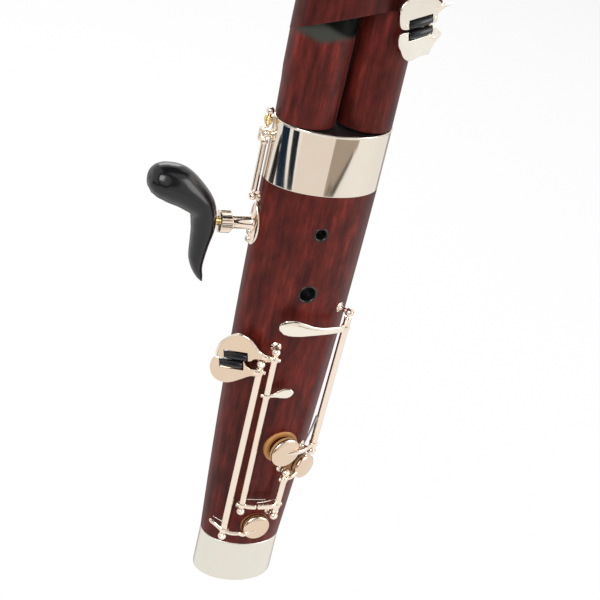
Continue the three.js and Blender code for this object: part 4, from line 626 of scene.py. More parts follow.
def flange_outline():
    cx = -(0.45 + WING_THICK)
    radius = WING_THICK + FLANGE_SKIN
    span = FLANGE_REACH - cx
    around = [(d, 1) for d in (180, 160, 140, 120, 100, 80, 60, 40, 20)]
    left = [(270, 1.185), (255, 1.14), (240, 1.08), (220, 1.03), (200, 1.005)]
    edge = [(0.7, -0.28), (0.97, -0.5), (1, -0.66), (0.95, -0.77), (0.84, -0.83), (0.66, -0.91),
            (0.48, -0.975), (0.25, -1)]

    def polar(degrees, share):
        a = math.radians(degrees)
        return vec(radius * share * math.cos(a), radius * share * math.sin(a), 0)

    front = [vec(u * span, v * FLANGE_D, 0) for u, v in edge]
    return [polar(*p) for p in around] + front + [polar(*p) for p in left]


# Height over the ledge, dip of the tube and share of the front's stand-out
COVE_STEPS = [(-20, 0, 0), (-16, 0, 0), (-14.5, -0.1, 0), (-13, -0.3, 0), (-11, -0.75, 0), (-9, -1.3, 0),
              (-7, -1.85, 0), (-5, -2.35, 0), (-3, -2.75, 0), (-1.2, -3, 0), (-0.2, -3.05, 0),
              (0, -2.7, 0.05), (0.02, 0, 0.8), (0.12, 0, 0.955), (0.5, 0, 0.995), (1.1, 0, 1)]


def make_wing():
    cx = -(0.45 + WING_THICK)
    outline = spline(flange_outline(), 7, closed=True)
    outline.reverse()
    turns = [math.atan2(p.y, p.x) for p in outline]

    def tube_ring(z, grow=0.0):
        r, c = wing_radius(z) + grow, wing_centre(z)
        return [vec(c + r * math.cos(a), r * math.sin(a), z) for a in turns]

    rings = [tube_ring(SHOULDER + 0.02, -4), tube_ring(SHOULDER + 0.02, -0.5), tube_ring(SHOULDER + 0.5),
             tube_ring(315)]
    # below the ledge: the tube dips in a soft cove where the front stands proud of it
    for dz, dip, share in COVE_STEPS:
        ring = []
        for p, a in zip(outline, turns):
            turn = math.degrees(a) % 360
            proud = lerp(0, 1, (turn - 205) / 45) * lerp(0, 1, (318 - turn) / 18)
            z = LEDGE_Z + LEDGE_SLOPE * (p.x + WING_THICK + FLANGE_SKIN) - LEDGE_TILT * p.y + dz
            r = wing_radius(min(z, WING_THICK_Z)) + dip * proud + (p.length - WING_THICK) * share
            ring.append(vec(cx + r * math.cos(a), r * math.sin(a), z))
        rings.append(ring)
    for z in (375, 400, 430, 470, WING_SHOULDER - 3):
        rings.append([vec(cx + p.x, p.y, z) for p in outline])
    # above the shoulder the front closes down to the neck
    for k in range(1, 13):
        t = k / 12
        z = lerp(WING_SHOULDER - 3, WING_NECK, t)
        r, c = wing_radius(max(z, WING_SHOULDER)), wing_centre(max(z, WING_SHOULDER))
        s = 0.5 - 0.5 * math.cos(math.pi * min(t * 1.25, 1))
        rings.append([vec(cx + p.x, p.y, z).lerp(vec(c + r * math.cos(a), r * math.sin(a), z), s)
                      for p, a in zip(outline, turns)])
    rings += [tube_ring(575), tube_ring(WING_TOP - 12.1), tube_ring(WING_TOP - 12),
              tube_ring(WING_TOP - 12, -1.4), tube_ring(WING_TOP - 0.1, -1.4),
              tube_ring(WING_TOP - 0.1, -6.2), tube_ring(WING_TOP - 20, -6.2)]
    # the front is hollowed to clear the long joint
    cutters = [loft([circle(vec(LONG_X, 0, z), vec(1, 0, 0), vec(0, 1, 0), *(long_radius(z) + 0.6,) * 2, 120)
                     for z in (330, 660)])]
    for k, share in enumerate((0.24, 0.47, 0.72)):
        z = lerp(LEDGE_Z, FLANGE_TOP, share)
        inner = vec(WING_X, 0, z)
        out = vec(math.cos(-1.15), math.sin(-1.15), 0.12).normalized()
        mouth = inner + out * wing_front(inner, out, outline, cx)
        profile = [(2.6, -11), (2.6, -0.25), (2.8, 0.0), (3.15, 0.05), (3.25, -0.1), (3.25, -11)]
        bottom = lathe([(0, -10), (3, -10), (3, -10.6), (0, -10.6)], mouth, out, 24)
        liner = Geo(lathe(profile, mouth, out, 40, closed=True), bottom)
        build(f"wing_finger_hole_{k + 1}", liner, "liner", "bassoon")
        cutters.append(lathe([(3.2, -13), (3.2, 6)], mouth, out, 40))
    build("wing_wood", loft(rings), "maple_wing", "bassoon", ["wing_joint"], cutters=cutters,
          angle=34)
    seats = [tone_seat(WING, deg, lerp(WING_THICK_Z, WING_SHOULDER, share), 2.8, 32, 0.15)
             for deg, share in ((104, 0.86), (56, 0.52))]
    build("wing_tone_seats", Geo(*seats), "maple", "bassoon")
    x = wing_centre(WING_TOP)
    r = WING_TOP_R
    profile = [(r - 1.1, 0.3), (r - 0.1, 0.3), (r + 0.25, 0.6), (r + 0.25, 1.2), (r, 1.6), (r, 1.9), (r, 2.6),
               (r, 9.2), (r, 9.9), (r, 10.2), (r + 0.25, 10.6), (r + 0.3, 11.2), (r + 0.1, 11.8),
               (r - 0.5, 12), (r - 1.1, 11.8)]
    build("wing_ring_polished", lathe(profile, vec(x, 0, WING_TOP - 12), Z, 96, closed=True), "mirror",
          "bassoon", ["wing_top_ring"], angle=50)


def wing_front(inner, out, outline, cx):
    """How far along out from inner the front of the wing joint lies."""
    best = 0
    pts = [vec(cx + p.x, p.y, 0) for p in outline]
    for a, b in zip(pts, pts[1:] + pts[:1]):
        ex, ey = b.x - a.x, b.y - a.y
        det = out.x * ey - out.y * ex
        if abs(det) < 1e-9:
            continue
        t = ((a.x - inner.x) * ey - (a.y - inner.y) * ex) / det
        u = ((a.x - inner.x) * out.y - (a.y - inner.y) * out.x) / det
        if 0 <= u <= 1 and t > best:
            best = t
    return best


# Long joint and bell

def make_long():
    seats = Geo(*(tone_seat(LONG, *row) for row in (
        (8, 560, 3.8), (38, 386, 3.6), (14, lerp(BOOT_H, LONG_TOP, 0.48), 4.8),
        (14, lerp(BOOT_H, LONG_TOP, 0.8), 4.6))))
    body = lathe([(10, SHOULDER + 0.02), (LONG_FOOT - 0.5, SHOULDER + 0.02), (LONG_FOOT, SHOULDER + 0.5),
                  (long_radius(480), 480), (LONG_TOP_R, LONG_TOP - 0.6), (LONG_TOP_R - 0.5, LONG_TOP),
                  (11.6, LONG_TOP), (11.6, LONG_TOP + 20)], vec(LONG_X, 0, 0),
                  Z, 140)
    build("long_wood", body, "maple", "bassoon", ["long_joint"], angle=30)
    build("long_tone_seats", seats, "maple", "bassoon")


def make_bell():
    floor, top = LONG_TOP + GAP, LONG_TOP + 22 + GAP
    rise = BELL_TOP - BELL_RING_H
    foot, neck = BELL_FOOT, BELL_NECK
    points = [(foot, top - 10), (foot - 0.05, top), (BELL_WAIST, BELL_WAIST_Z),
              (lerp(BELL_WAIST, BELL_BULGE, 0.5), lerp(BELL_WAIST_Z, BELL_BULGE_Z, 0.5)),
              (BELL_BULGE, BELL_BULGE_Z),
              (lerp(BELL_BULGE, neck, 0.45), lerp(BELL_BULGE_Z, rise, 0.5)), (neck, rise - 0.3)]
    curve = spline([vec(*p, 0) for p in points], 8)
    profile = [(foot - 2.9, floor + 9), (foot - 0.5, floor + 9.02), (foot, floor + 9.5)]
    profile += [(p.x, p.y) for p in curve] + [(BELL_BORE, rise - 0.3), (BELL_BORE, 720)]
    build("bell_wood", lathe(profile, vec(LONG_X, 0, 0), Z, 140), "maple", "bassoon", ["bell_joint"],
          angle=34)
    seat = tone_seat(BELL, 108, lerp(BELL_WAIST_Z, BELL_BULGE_Z, 0.6), 4.8, hole=0.625)
    build("bell_tone_seat", seat, "maple", "bassoon")
    r = foot
    band = [(r - 1, 0), (r - 0.1, 0), (r + 0.25, 0.3), (r + 0.3, 0.7), (r + 0.05, 1.2), (r, 1.5), (r, 1.8),
            (r, 2.4), (r, 6.3), (r, 6.9), (r, 7.2), (r + 0.05, 7.5), (r + 0.3, 7.9), (r + 0.2, 8.5),
            (r - 0.3, 8.7), (r - 1, 8.7)]
    build("bell_band_polished", lathe(band, vec(LONG_X, 0, floor), Z, 120, closed=True), "mirror", "bassoon",
          ["bell_band"], angle=50)
    R, h = BELL_RING_R, BELL_RING_H
    points = [(neck, 0.1), (neck, h * 0.25), (R * 0.93, h * 0.45), (R - 0.02, h * 0.7), (R - 0.02, h * 0.88),
              (R * 0.95, h - 0.15)]
    curve = spline([vec(*p, 0) for p in points], 8)
    profile = [(BELL_BORE, 0.1)] + [(min(p.x, R), p.y) for p in curve]
    profile += [(R * 0.9, h - 0.02), (BELL_BORE * 1.16, h - 0.02), (BELL_BORE * 1.1, h - 0.3),
                (BELL_BORE, h * 0.8)]
    build("bell_ring_turned", lathe(profile, vec(LONG_X, 0, BELL_TOP - h), Z, 140, closed=True), "ivory",
          "bassoon", ["bell_ring"], angle=40)


# Crook and reed

CROOK_FOOT = -19.7


def crook_path():
    reach, rise = 108, 26
    shares = [(0, 0, CROOK_FOOT / rise), (0, 0, 0), (0, 0, 1), (0.02, 0.13, 1.9), (0.06, 0.42, 2.35),
              (0.1, 0.74, 2.05), (0.13, 1, 1.6)]
    x = wing_centre(WING_TOP)
    return spline([vec(x - reach * a, reach * b, WING_TOP + rise * c) for a, b, c in shares], 16)


def make_crook():
    path = crook_path()
    lengths = [0]
    for a, b in zip(path, path[1:]):
        lengths.append(lengths[-1] + (b - a).length)
    radii = [lerp(4.4, 2.3, s / lengths[-1]) for s in lengths]
    x, tip = wing_centre(WING_TOP), path[-1]
    along = (tip - path[-2]).normalized()
    socket = [(4, 0), (5.2, 0.1), (5.6, 0.6), (5.6, 1.6), (5.0, 2.2), (4.6, 3.4), (4, 3.6)]
    bead = [(2, 0), (2.6, 0.2), (2.75, 0.8), (2.6, 1.4), (2, 1.6)]
    k = 30
    side = (path[k + 1] - path[k - 1]).cross(vec(1, 0, 0)).normalized()
    vent = [(1.5, 0)] + [(r, radii[k] + h) for r, h in ((1.5, 0.6), (0.9, 1.0), (0.7, 1.6), (0.3, 1.7))]
    geo = Geo(sweep(path, radii, 32), lathe(socket, vec(x, 0, WING_TOP + 0.1), Z, 48),
              lathe(bead, tip - along * 9, along, 32), lathe(vent, path[k], -side, 20))
    build("crook_polished", geo, "mirror", "crook", ["crook"], angle=45)
    cork = lathe([(4.5, 0), (5.6, 0), (5.95, 0.5), (6, 18.6), (5.7, 19.1), (4.5, 19.2)],
                 vec(x, 0, WING_TOP + CROOK_FOOT), Z, 48, closed=True)
    build("crook_cork_sleeve", cork, "cork", "crook", ["crook_cork"])
    make_reed(tip, along)


def make_reed(tip, along):
    _, side, over = basis(along)
    start = tip - along * 5
    length = 44
    table = [(0.02, 3.0, 3.0), (0.2, 3.0, 3.0), (0.4, 3.05, 2.9), (0.52, 3.55, 2.5), (0.64, 4.2, 1.95),
             (0.75, 4.7, 1.45), (0.88, 5.2, 0.85), (0.97, 5.55, 0.42), (1, 5.6, 0.3)]
    rings = []
    turns = [2 * math.pi * k / 40 for k in range(40)]
    lens = [(math.cos(a), math.copysign(abs(math.sin(a)) ** 0.85, math.sin(a))) for a in turns]
    for s in spline([Vector(t) for t in table], 5):
        c = start + along * (s.x * length)
        rings.append([c + side * (s.y * u) + over * (s.z * v) for u, v in lens])
    build("reed_blades", loft(rings, ends=False), "cane", "crook", ["reed"])
    wires = Geo()
    for share, w, h in ((0.3, 3.06, 3.0), (0.4, 3.15, 2.95), (0.5, 3.5, 2.62)):
        c = start + along * (share * length)
        turns = [2 * math.pi * k / 36 for k in range(37)]
        ring = [c + side * (w * math.cos(a)) + over * (h * math.sin(a)) for a in turns]
        wires.add(sweep(ring, [0.3] * len(ring), 8))
        wires.add(rod(c + over * (h + 0.1), c + over * (h + 1.1) + along * 0.4, 0.28, 8, 0.05))
    build("reed_wires", wires, "brass", "crook")
    coil = []
    for k in range(361):
        a = k * math.pi / 9
        spoke = side * (3.1 * math.cos(a)) + over * (3.1 * math.sin(a))
        coil.append(start + along * (1.2 + 9.5 * k / 360) + spoke)
    build("reed_binding", sweep(coil, [0.3] * len(coil), 6), "thread", "crook")


# Hand rest

def make_hand_rest():
    z0 = 234
    root = at(BOOT, 180, z0, GAP)
    left = vec(-1, 0, 0)
    shares = [(0, 1), (0.55, 0.72), (0.9, 0.25), (1, -0.2), (0.86, -0.7), (0.4, -1)]
    shares += [(-u, v) for u, v in shares[:0:-1]]
    outline = spline([vec(u * 6.4, v * 12, 0) for u, v in shares], 8, closed=True)
    layers = []
    for grow, out in ((1.0, 0.3), (1.0, 1.2), (0.97, 1.55), (0.9, 1.7), (0.6, 1.72), (0.25, 1.74)):
        ring = []
        for p in outline:
            y, z = p.x * grow, z0 + p.y * grow
            w, d = boot_half(z)
            x = -w * math.sqrt(max(1 - (y / d) ** 2, 0.02))
            n = vec(x / w / w, y / d / d, 0).normalized()
            ring.append(vec(x, y, z) + n * out)
        layers.append(ring)
    geo = loft(layers)
    end = root + left * 13
    geo.add(lathe([(3.3, 0.4), (5.2, 1.3), (4.4, 2.0), (3.9, 2.7), (3.75, 11.6), (4.05, 11.9), (4.05, 12.8),
                   (3.7, 13), (2.6, 13), (2.6, 8)], root, left, 56))
    build("hand_rest_socket", geo, "silver", "bassoon", ["hand_rest_plate"], angle=42)
    for k, share in enumerate((-0.45, -0.82)):
        z = z0 + share * 12
        seat = at(BOOT, 180, z, 1.5)
        n = normal(BOOT, 180, z)
        head = lathe([(1.2, -0.3), (1.9, -0.1), (1.9, 0.5), (1.7, 1.15), (1.2, 1.6), (0, 1.75)], seat, n, 32)
        slot_box = slab([(-2.4, -0.22), (2.4, -0.22), (2.4, 0.22), (-2.4, 0.22)], 1.4, seat + n * 1.7,
                        vec(0, math.cos(0.6), math.sin(0.6)), vec(0, -math.sin(0.6), math.cos(0.6)))
        build(f"hand_rest_screw_{k + 1}", head, "silver", "bassoon", cutters=[slot_box],
              angle=35)
    start = end + left * GAP
    teeth = 44
    rings = []
    turns = [2 * math.pi * i / (teeth * 4) for i in range(teeth * 4)]
    # height, radius and depth of the knurl for each ring of the nut
    layers = [(0, 5.332, 0.3), (0.35, 5.89, 0.3), (0.7, 6.2, 1), (6.1, 6.2, 1), (6.45, 5.89, 0.3),
              (6.8, 5.332, 0.3), (6.8, 3.4, 0), (6.75, 2.6, 0), (0.05, 2.6, 0), (0, 3.4, 0)]
    for h, radius, deep in layers:
        ring = []
        for a in turns:
            r = radius * (1 - 0.03 * deep * (0.5 + 0.5 * math.cos(a * teeth)))
            ring.append(start + left * h + vec(0, r * math.cos(a), r * math.sin(a)))
        rings.append(ring)
    build("hand_rest_nut_knurled", loft(rings, closed=True), "silver", "hand_rest_nut",
          ["hand_rest_nut"], angle=30)
    edge = end.x - 9
    thread = [(2.0 if i % 2 else 2.2, 0.45 * i) for i in range(38)]
    stem = lathe([(0.4, -0.01)] + thread + [(2.2, 19), (2.2, 24.5), (0.5, 24.6)], vec(root.x - 2.3, 0, z0),
                 left, 32)
    build("hand_rest_stem_brass", stem, "brass", "hand_rest_stem", ["hand_rest_stem"], angle=50)
    make_crutch(edge)


CRUTCH = [(-0.988, 0.341, 0.08, 0.1), (-0.963, 0.339, 0.46, 0.5), (-0.902, 0.336, 0.77, 0.8),
          (-0.793, 0.327, 0.97, 1), (-0.61, 0.297, 1.07, 1.05), (-0.385, 0.217, 0.91, 0.98),
          (-0.207, 0.116, 0.73, 0.88), (-0.144, -0.043, 0.65, 0.78), (-0.149, -0.183, 0.52, 0.68),
          (-0.149, -0.32, 0.43, 0.56), (-0.117, -0.41, 0.3, 0.42), (-0.056, -0.488, 0.17, 0.26),
          (-0.017, -0.529, 0.05, 0.08)]


def make_crutch(edge):
    path = spline([vec(edge + u * 40.98, 0, 234 + v * 69) for u, v, _, _ in CRUTCH], 6)
    sizes = spline([vec(w, d, 0) for _, _, w, d in CRUTCH], 6)
    rings = []
    for i, p in enumerate(path):
        run = (path[min(i + 1, len(path) - 1)] - path[max(i - 1, 0)]).normalized()
        side = run.cross(vec(0, 1, 0)).normalized()
        rings.append(circle(p, side, vec(0, 1, 0), 9.99 * max(sizes[i].x, 0.02), 9.99 * max(sizes[i].y, 0.02),
                            48))
    socket = lathe([(2.5, -10), (2.5, 5.6), (0, 5.6)], vec(edge, 0, 234), vec(-1, 0, 0), 32)
    build("hand_rest_crutch_polished", loft(rings), "resin", "hand_rest_crutch",
          ["hand_rest_crutch"], cutters=[socket], angle=60)


# Keys in common

def tube_of(low, high, radius=ROD):
    """The tube of a key between its posts, with a bead at each end."""
    along = (high - low).normalized()
    a, b = low + along * (BALL + 0.3), high - along * (BALL + 0.3)
    geo = rod(a, b, radius, 32, 0.25)
    bead = [(radius - 0.1, 0), (radius + 0.12, 0.2), (radius + 0.2, 0.6), (radius + 0.12, 1),
            (radius - 0.1, 1.2)]
    for p, sign in ((a, 1), (b, -1)):
        geo.add(lathe(bead, p + along * (sign * 0.15), along * sign, 32))
    return geo


def hub(centre, axis, radius=ROD, width=3.0):
    """A collar where an arm is soldered to its tube."""
    half = width / 2
    return lathe([(radius - 0.2, -half), (radius + 0.32, -half + 0.25), (radius + 0.42, -half + 0.7),
                  (radius + 0.42, half - 0.7), (radius + 0.32, half - 0.25),
                  (radius - 0.2, half)], centre, axis, 32)


def stub(centre, direction, radius=1.25):
    """The rounded end of an arm on the far side of its tube."""
    return lathe([(radius, 0), (radius, 2.0), (radius * 0.86, 2.35), (radius * 1.04, 2.65),
                  (radius * 0.95, 3.1), (radius * 0.55, 3.45), (0, 3.5)], centre, direction, 24)


def post_ball(centre, out, radius):
    """A post's ball, with the round end of its pivot screw let into it."""
    face = (out + Z * 0.5).normalized()
    tilt = [math.pi * (1 - k / 18) for k in range(18) if math.pi * (1 - k / 18) > 0.46]
    profile = [(radius * math.sin(t), radius * math.cos(t)) for t in tilt]
    brow = radius * math.cos(0.42)
    profile += [(radius * math.sin(0.42), brow), (1.0, brow - 0.75), (0.62, brow - 0.8), (0.56, brow - 0.12),
                (0.3, brow - 0.02), (0, brow)]
    return lathe(profile, centre, face, 36)


def post(foot, centre, out):
    """A turned post that screws into the wood."""
    rise = (centre - foot).length
    return lathe([(2.9, 0), (2.9, 0.75), (2.65, 1.0), (2.0, 1.15), (1.75, 1.5), (1.35, 2.2),
                  (1.25, max(rise - 2.9, 2.4)), (1.7, rise - 2.2), (1.9, rise - 1.9), (1.5, rise - 1.5),
                  (1.2, rise - 0.5)], foot, out, 32)


def make_pivot(name, low, high, host, degrees, radius=BALL):
    """The pivot rod of a key with a post and a ball at each end."""
    angles = degrees if isinstance(degrees, (list, tuple)) else (degrees, degrees)
    geo = Geo(rod(low, high, 0.9, 12, 0.1))
    for centre, deg in ((low, angles[0]), (high, angles[1])):
        out = normal(host, deg, centre.z)
        geo.add(post(at(host, deg, centre.z, -0.6), centre, out)).add(post_ball(centre, out, radius))
    build(name + "_pivot_posts", geo, "silver", "bassoon", [name + "_pivot"], angle=42)


def cup_parts(host, deg, z, radius, drop, sides=72):
    """A cup's shell and pad over its seat, with the points that its arm needs."""
    out = normal(host, deg, z)
    face = at(host, deg, z, 1.1)
    rim = face + out * drop
    h = 2.8
    shell = [(0, 1.25), (radius - 0.9, 1.2), (radius - 0.9, 0.15), (radius - 0.7, 0), (radius - 0.15, 0),
             (radius, 0.2), (radius, h * 0.42), (radius - 0.05, h * 0.52), (radius - 0.3, h * 0.6)]
    shell += [(radius * r, h * t) for r, t in ((0.93, 0.7), (0.86, 0.775), (0.75, 0.85), (0.6, 0.91),
                                               (0.4, 0.96), (0.2, 0.99), (0, 1.0))]
    inner = radius - 1.2
    lip = radius - 0.25
    pad = [(0, 0.35), (lip * 0.35, 0.3), (lip * 0.62, 0.12), (lip * 0.8, 0.0), (lip * 0.93, 0.04),
           (lip, drop * 0.35), (lip + 0.05, drop * 0.7), (lip - 0.15, drop - 0.05), (inner, drop + 0.1),
           (inner, drop + 0.9), (0, drop + 0.9)]
    return {"shell": lathe(shell, rim, out, sides), "pad": lathe(pad, face, out, sides), "top": rim + out * h,
            "out": out, "rim": rim}


def cup_arm(host, rod_deg, rod_out, z, cup, deg, radius):
    """The arm that arches from a key's tube to the middle of its cup."""
    start = at(host, rod_deg, z, rod_out)
    crown = cup["top"] - cup["out"] * 0.35
    mid_deg = (rod_deg + deg) / 2
    high = max(rod_out, (cup["top"] - at(host, deg, cup["top"].z)).length)
    middle = at(host, mid_deg, (z + crown.z) / 2, high + 0.4)
    over = at(host, rod_deg, z, rod_out + 1.0)
    toward = (crown - middle).normalized()
    rim = crown - toward * (radius * 0.82) + cup["out"] * 0.35
    stations = [(start, 1.45, 0.95, normal(host, rod_deg, z)), (over.lerp(middle, 0.5), 1.35, 0.85),
                (middle, 1.3, 0.8)]
    if (rim - middle).dot(toward) > 1.2:
        stations.append((rim, 1.5, 0.8, cup["out"]))
    stations += [(crown - toward * (radius * 0.3) + cup["out"] * 0.12, 0.95, 0.6, cup["out"]),
                 (crown + toward * 0.4, 0.35, 0.3, cup["out"])]
    return strip(stations, normal(host, mid_deg, z), crown=0.95)


def needle(a, b, sag=vec(0, 0, 0)):
    """A spring of wire that tapers from a to b."""
    path = spline([a, a.lerp(b, 0.5) + sag, b], 8)
    return sweep(path, [0.32 * (1 - 0.35 * i / (len(path) - 1)) for i in range(len(path))], 10)


def pad_piece(name, cup, body, replaces=()):
    build(name + "_leather", cup["pad"], "leather", body, replaces, angle=60)


def pose(geo, low, high, degrees):
    return geo.turned(low, (high - low).normalized(), degrees)


# Front keys of the boot

A_ROD, A_FOOT, A_CUP, F_ROD, FC_ROD, FC_CUP = -124, -128, -87, -112.6, -71, -43
G_ROD, G_FOOT, G_CUP, G_OUT, F_OPEN, G_OPEN = -45, -42, -79.5, 7, 9, 6
LINK_Z = 61.8
PLATE_Z, A_TOP, F_TOP = 155.49, 158.29, 167.49
ROLLER = 2.3


def leaf_plane(face, slant, place, out_by, level_by, **sizes):
    """The plane of a pair of key plates, with the sizes that their outlines are shares of."""
    face, slant = math.radians(face), math.radians(slant)
    out = vec(math.cos(face), math.sin(face), 0)
    level = vec(-out.y, out.x, 0)
    p = level * math.cos(slant) + Z * math.sin(slant)
    q = level * -math.sin(slant) + Z * math.cos(slant)
    return {"origin": place + out * out_by + level * level_by, "p": p, "q": q, "out": out, **sizes}


BOOT_PLANE = leaf_plane(-130, 13.5, at(BOOT, A_ROD, PLATE_Z, OUT), 1.4, -15.6,
                        reach=14.4, rise=16.2, length=13.8, pitch=5.1)
LONG_PLANE = leaf_plane(-75, 14, at(LONG, -75, 357.4, 4.6), 0, 5.2, reach=13, rise=16.6, length=14, pitch=5.7)


def on_plane(plane, p, q, out=0.0):
    return plane["origin"] + plane["p"] * p + plane["q"] * q + plane["out"] * out


def plate_shells(plane, shares, middle, side):
    """The plate's blank and the slot that its roller lies in."""
    outline = spline([vec(p * plane["reach"], q * plane["rise"], 0) for p, q in shares], 8, closed=True)
    blank = slab([(p.x, p.y) for p in outline], 1.5, plane["origin"], plane["p"], plane["q"])
    half = plane["length"] / 2 + GAP
    deep = plane["pitch"] / 2 + ROLLER + 2 * GAP
    box = [(middle - half, -side * 4), (middle + half, -side * 4), (middle + half, side * deep),
           (middle - half, side * deep)]
    cutter = slab(box, 5, plane["origin"], plane["p"], plane["q"])
    q = side * plane["pitch"] / 2
    pin = rod(on_plane(plane, middle - half - 0.9, q), on_plane(plane, middle + half + 0.9, q), 0.5, 16, 0.08)
    return blank, cutter, pin


def make_roller(name, plane, middle, side):
    length = plane["length"]
    start = on_plane(plane, middle - length / 2, side * plane["pitch"] / 2)
    swell = min(plane["pitch"] / 2 - 0.16, 2.6) - 1.95
    profile = [(0.85, 0), (1.6, 0), (1.85, 0.25)]
    for k in range(15):
        profile.append((1.95 + swell * math.sin(math.pi * k / 14) ** 0.7, 0.3 + (length - 0.6) * k / 14))
    profile += [(1.85, length - 0.25), (1.6, length), (0.85, length)]
    build(name + "_polished", lathe(profile, start, plane["p"], 40, closed=True), "resin", name,
          [name], angle=40)


UPPER = [(1.5, 0.25), (1.08, 0.49), (0.83, 0.77), (0.59, 0.94), (0.24, 1), (-0.16, 0.85), (-0.48, 0.61),
         (-0.67, 0.31), (-0.7, 0.06), (-0.52, 0.02), (0, 0.02), (0.5, 0.02), (0.72, 0.05), (0.86, 0.14),
         (1.2, 0.16), (1.5, 0.12)]
LOWER = [(-0.83, -0.02), (-1, -0.31), (-0.96, -0.65), (-0.74, -0.85), (-0.49, -0.91), (-0.15, -0.86),
         (0.29, -0.68), (0.67, -0.52), (1.06, -0.46), (1.06, -0.26), (0.7, -0.24), (0.5, -0.14),
         (0.42, -0.02), (0.2, -0.02), (-0.5, -0.02)]


def plate_rim(plane, shares, span):
    """A thin turned edge that stands along part of a plate's outline."""
    outline = spline([vec(p * plane["reach"], q * plane["rise"], 0) for p, q in shares], 8, closed=True)
    a, b = (int(len(outline) * s) for s in span)
    middle = sum(outline, vec(0, 0, 0)) / len(outline)
    pts = []
    for p in outline[a:b]:
        inward = (middle - p).normalized() * 0.35
        pts.append(on_plane(plane, p.x + inward.x, p.y + inward.y, 0.75))
    return sweep(pts, [0.74 if 2 < i < len(pts) - 3 else 0.35 for i in range(len(pts))], 16)


def on_rod(low, high, z):
    return low.lerp(high, (z - low.z) / (high.z - low.z))


def make_a_flat():
    low, high = at(BOOT, A_FOOT, 36.9, OUT), at(BOOT, A_ROD, A_TOP, OUT)
    axis = (high - low).normalized()
    plane = BOOT_PLANE
    middle = -0.1 * 14.4
    blank, cutter, pin = plate_shells(plane, LOWER, middle, -1)
    build("a_flat_key_plate", blank, "rose", "a_flat_key", cutters=[cutter], bevel=0.42,
          angle=50)
    cup = cup_parts(BOOT, A_CUP, 43.6, 8, 0.8)
    build("a_flat_key_cup", cup["shell"], "rose", "a_flat_key", angle=42)
    foot_z = 41.9
    side = (at(BOOT, A_CUP - 12, 43.6) - at(BOOT, A_CUP, 43.6)).normalized()
    inward = (side * 0.84 - Z * 0.54).normalized()
    joint = on_rod(low, high, foot_z) + normal(BOOT, A_FOOT, foot_z) * 1.2
    arm = [(at(BOOT, -148.4, 44.4, OUT - 0.8), 0.8, 0.55), (at(BOOT, -146.5, 44.2, OUT - 0.5), 1.25, 0.75),
           (at(BOOT, -137.6, 43.2, OUT + 0.2), 1.25, 0.85),
           (joint, 1.4, 1.0), (at(BOOT, -117.4, 40.9, OUT + 1.0), 1.3, 0.9),
           (at(BOOT, -109.5, 41.0, OUT + 0.5), 1.3, 0.85),
           (cup["rim"] + inward * 8.6 + cup["out"] * 1.9, 1.3, 0.8, cup["out"]),
           (cup["rim"] + inward * 6.4 + cup["out"] * 2.35, 1.15, 0.7, cup["out"]),
           (cup["top"] + side * 2.6 - Z * 2.2 - cup["out"] * 0.2, 0.8, 0.5, cup["out"]),
           (cup["top"] - Z * 1.5 - cup["out"] * 0.3, 0.35, 0.3, cup["out"])]
    geo = tube_of(low, high).add(pin).add(strip(arm, normal(BOOT, A_FOOT, foot_z), crown=0.9))
    root_q = -0.36 * 16.2
    root_on = on_plane(plane, 0.98 * 14.4, root_q)
    root_z = min(root_on.z, A_TOP - 5)
    geo.add(strip([(on_plane(plane, 0.98 * 14.4 * 0.8, root_q), 1.9, 0.75), (root_on, 1.5, 0.85),
                   (on_rod(low, high, root_z), 1.4, 1.3)], plane["out"]))
    for z in (foot_z, root_z):
        geo.add(hub(on_rod(low, high, z), axis))
    geo.add(stub(on_rod(low, high, root_z), across(BOOT, A_ROD, root_z)))
    build("a_flat_key_levers", geo, "silver", "a_flat_key", ["a_flat_key"], angle=42)
    pad_piece("a_flat_pad", cup, "a_flat_key", ["a_flat_key_pad"])
    make_roller("a_flat_roller", plane, middle, -1)
    make_pivot("a_flat_key", low, high, BOOT, (A_FOOT, A_ROD))
    spring = needle(at(BOOT, -131.5, 44.6, 2.6), at(BOOT, -146.9, 46.2, 3.1))
    build("a_flat_spring", spring, "satin", "bassoon")
    out = cup["out"]
    collar = lathe([(7.9, -1.6), (7.9, 0.15), (8.1, 0.4), (8.35, 0.4), (8.5, 0.1), (8.5, -1.6)],
                   at(BOOT, A_CUP, 43.6), out, 72, closed=True)
    build("a_flat_seat_rim", collar, "seat", "bassoon", angle=50)


def link_meet(out):
    return at(BOOT, -95.7, LINK_Z, out)


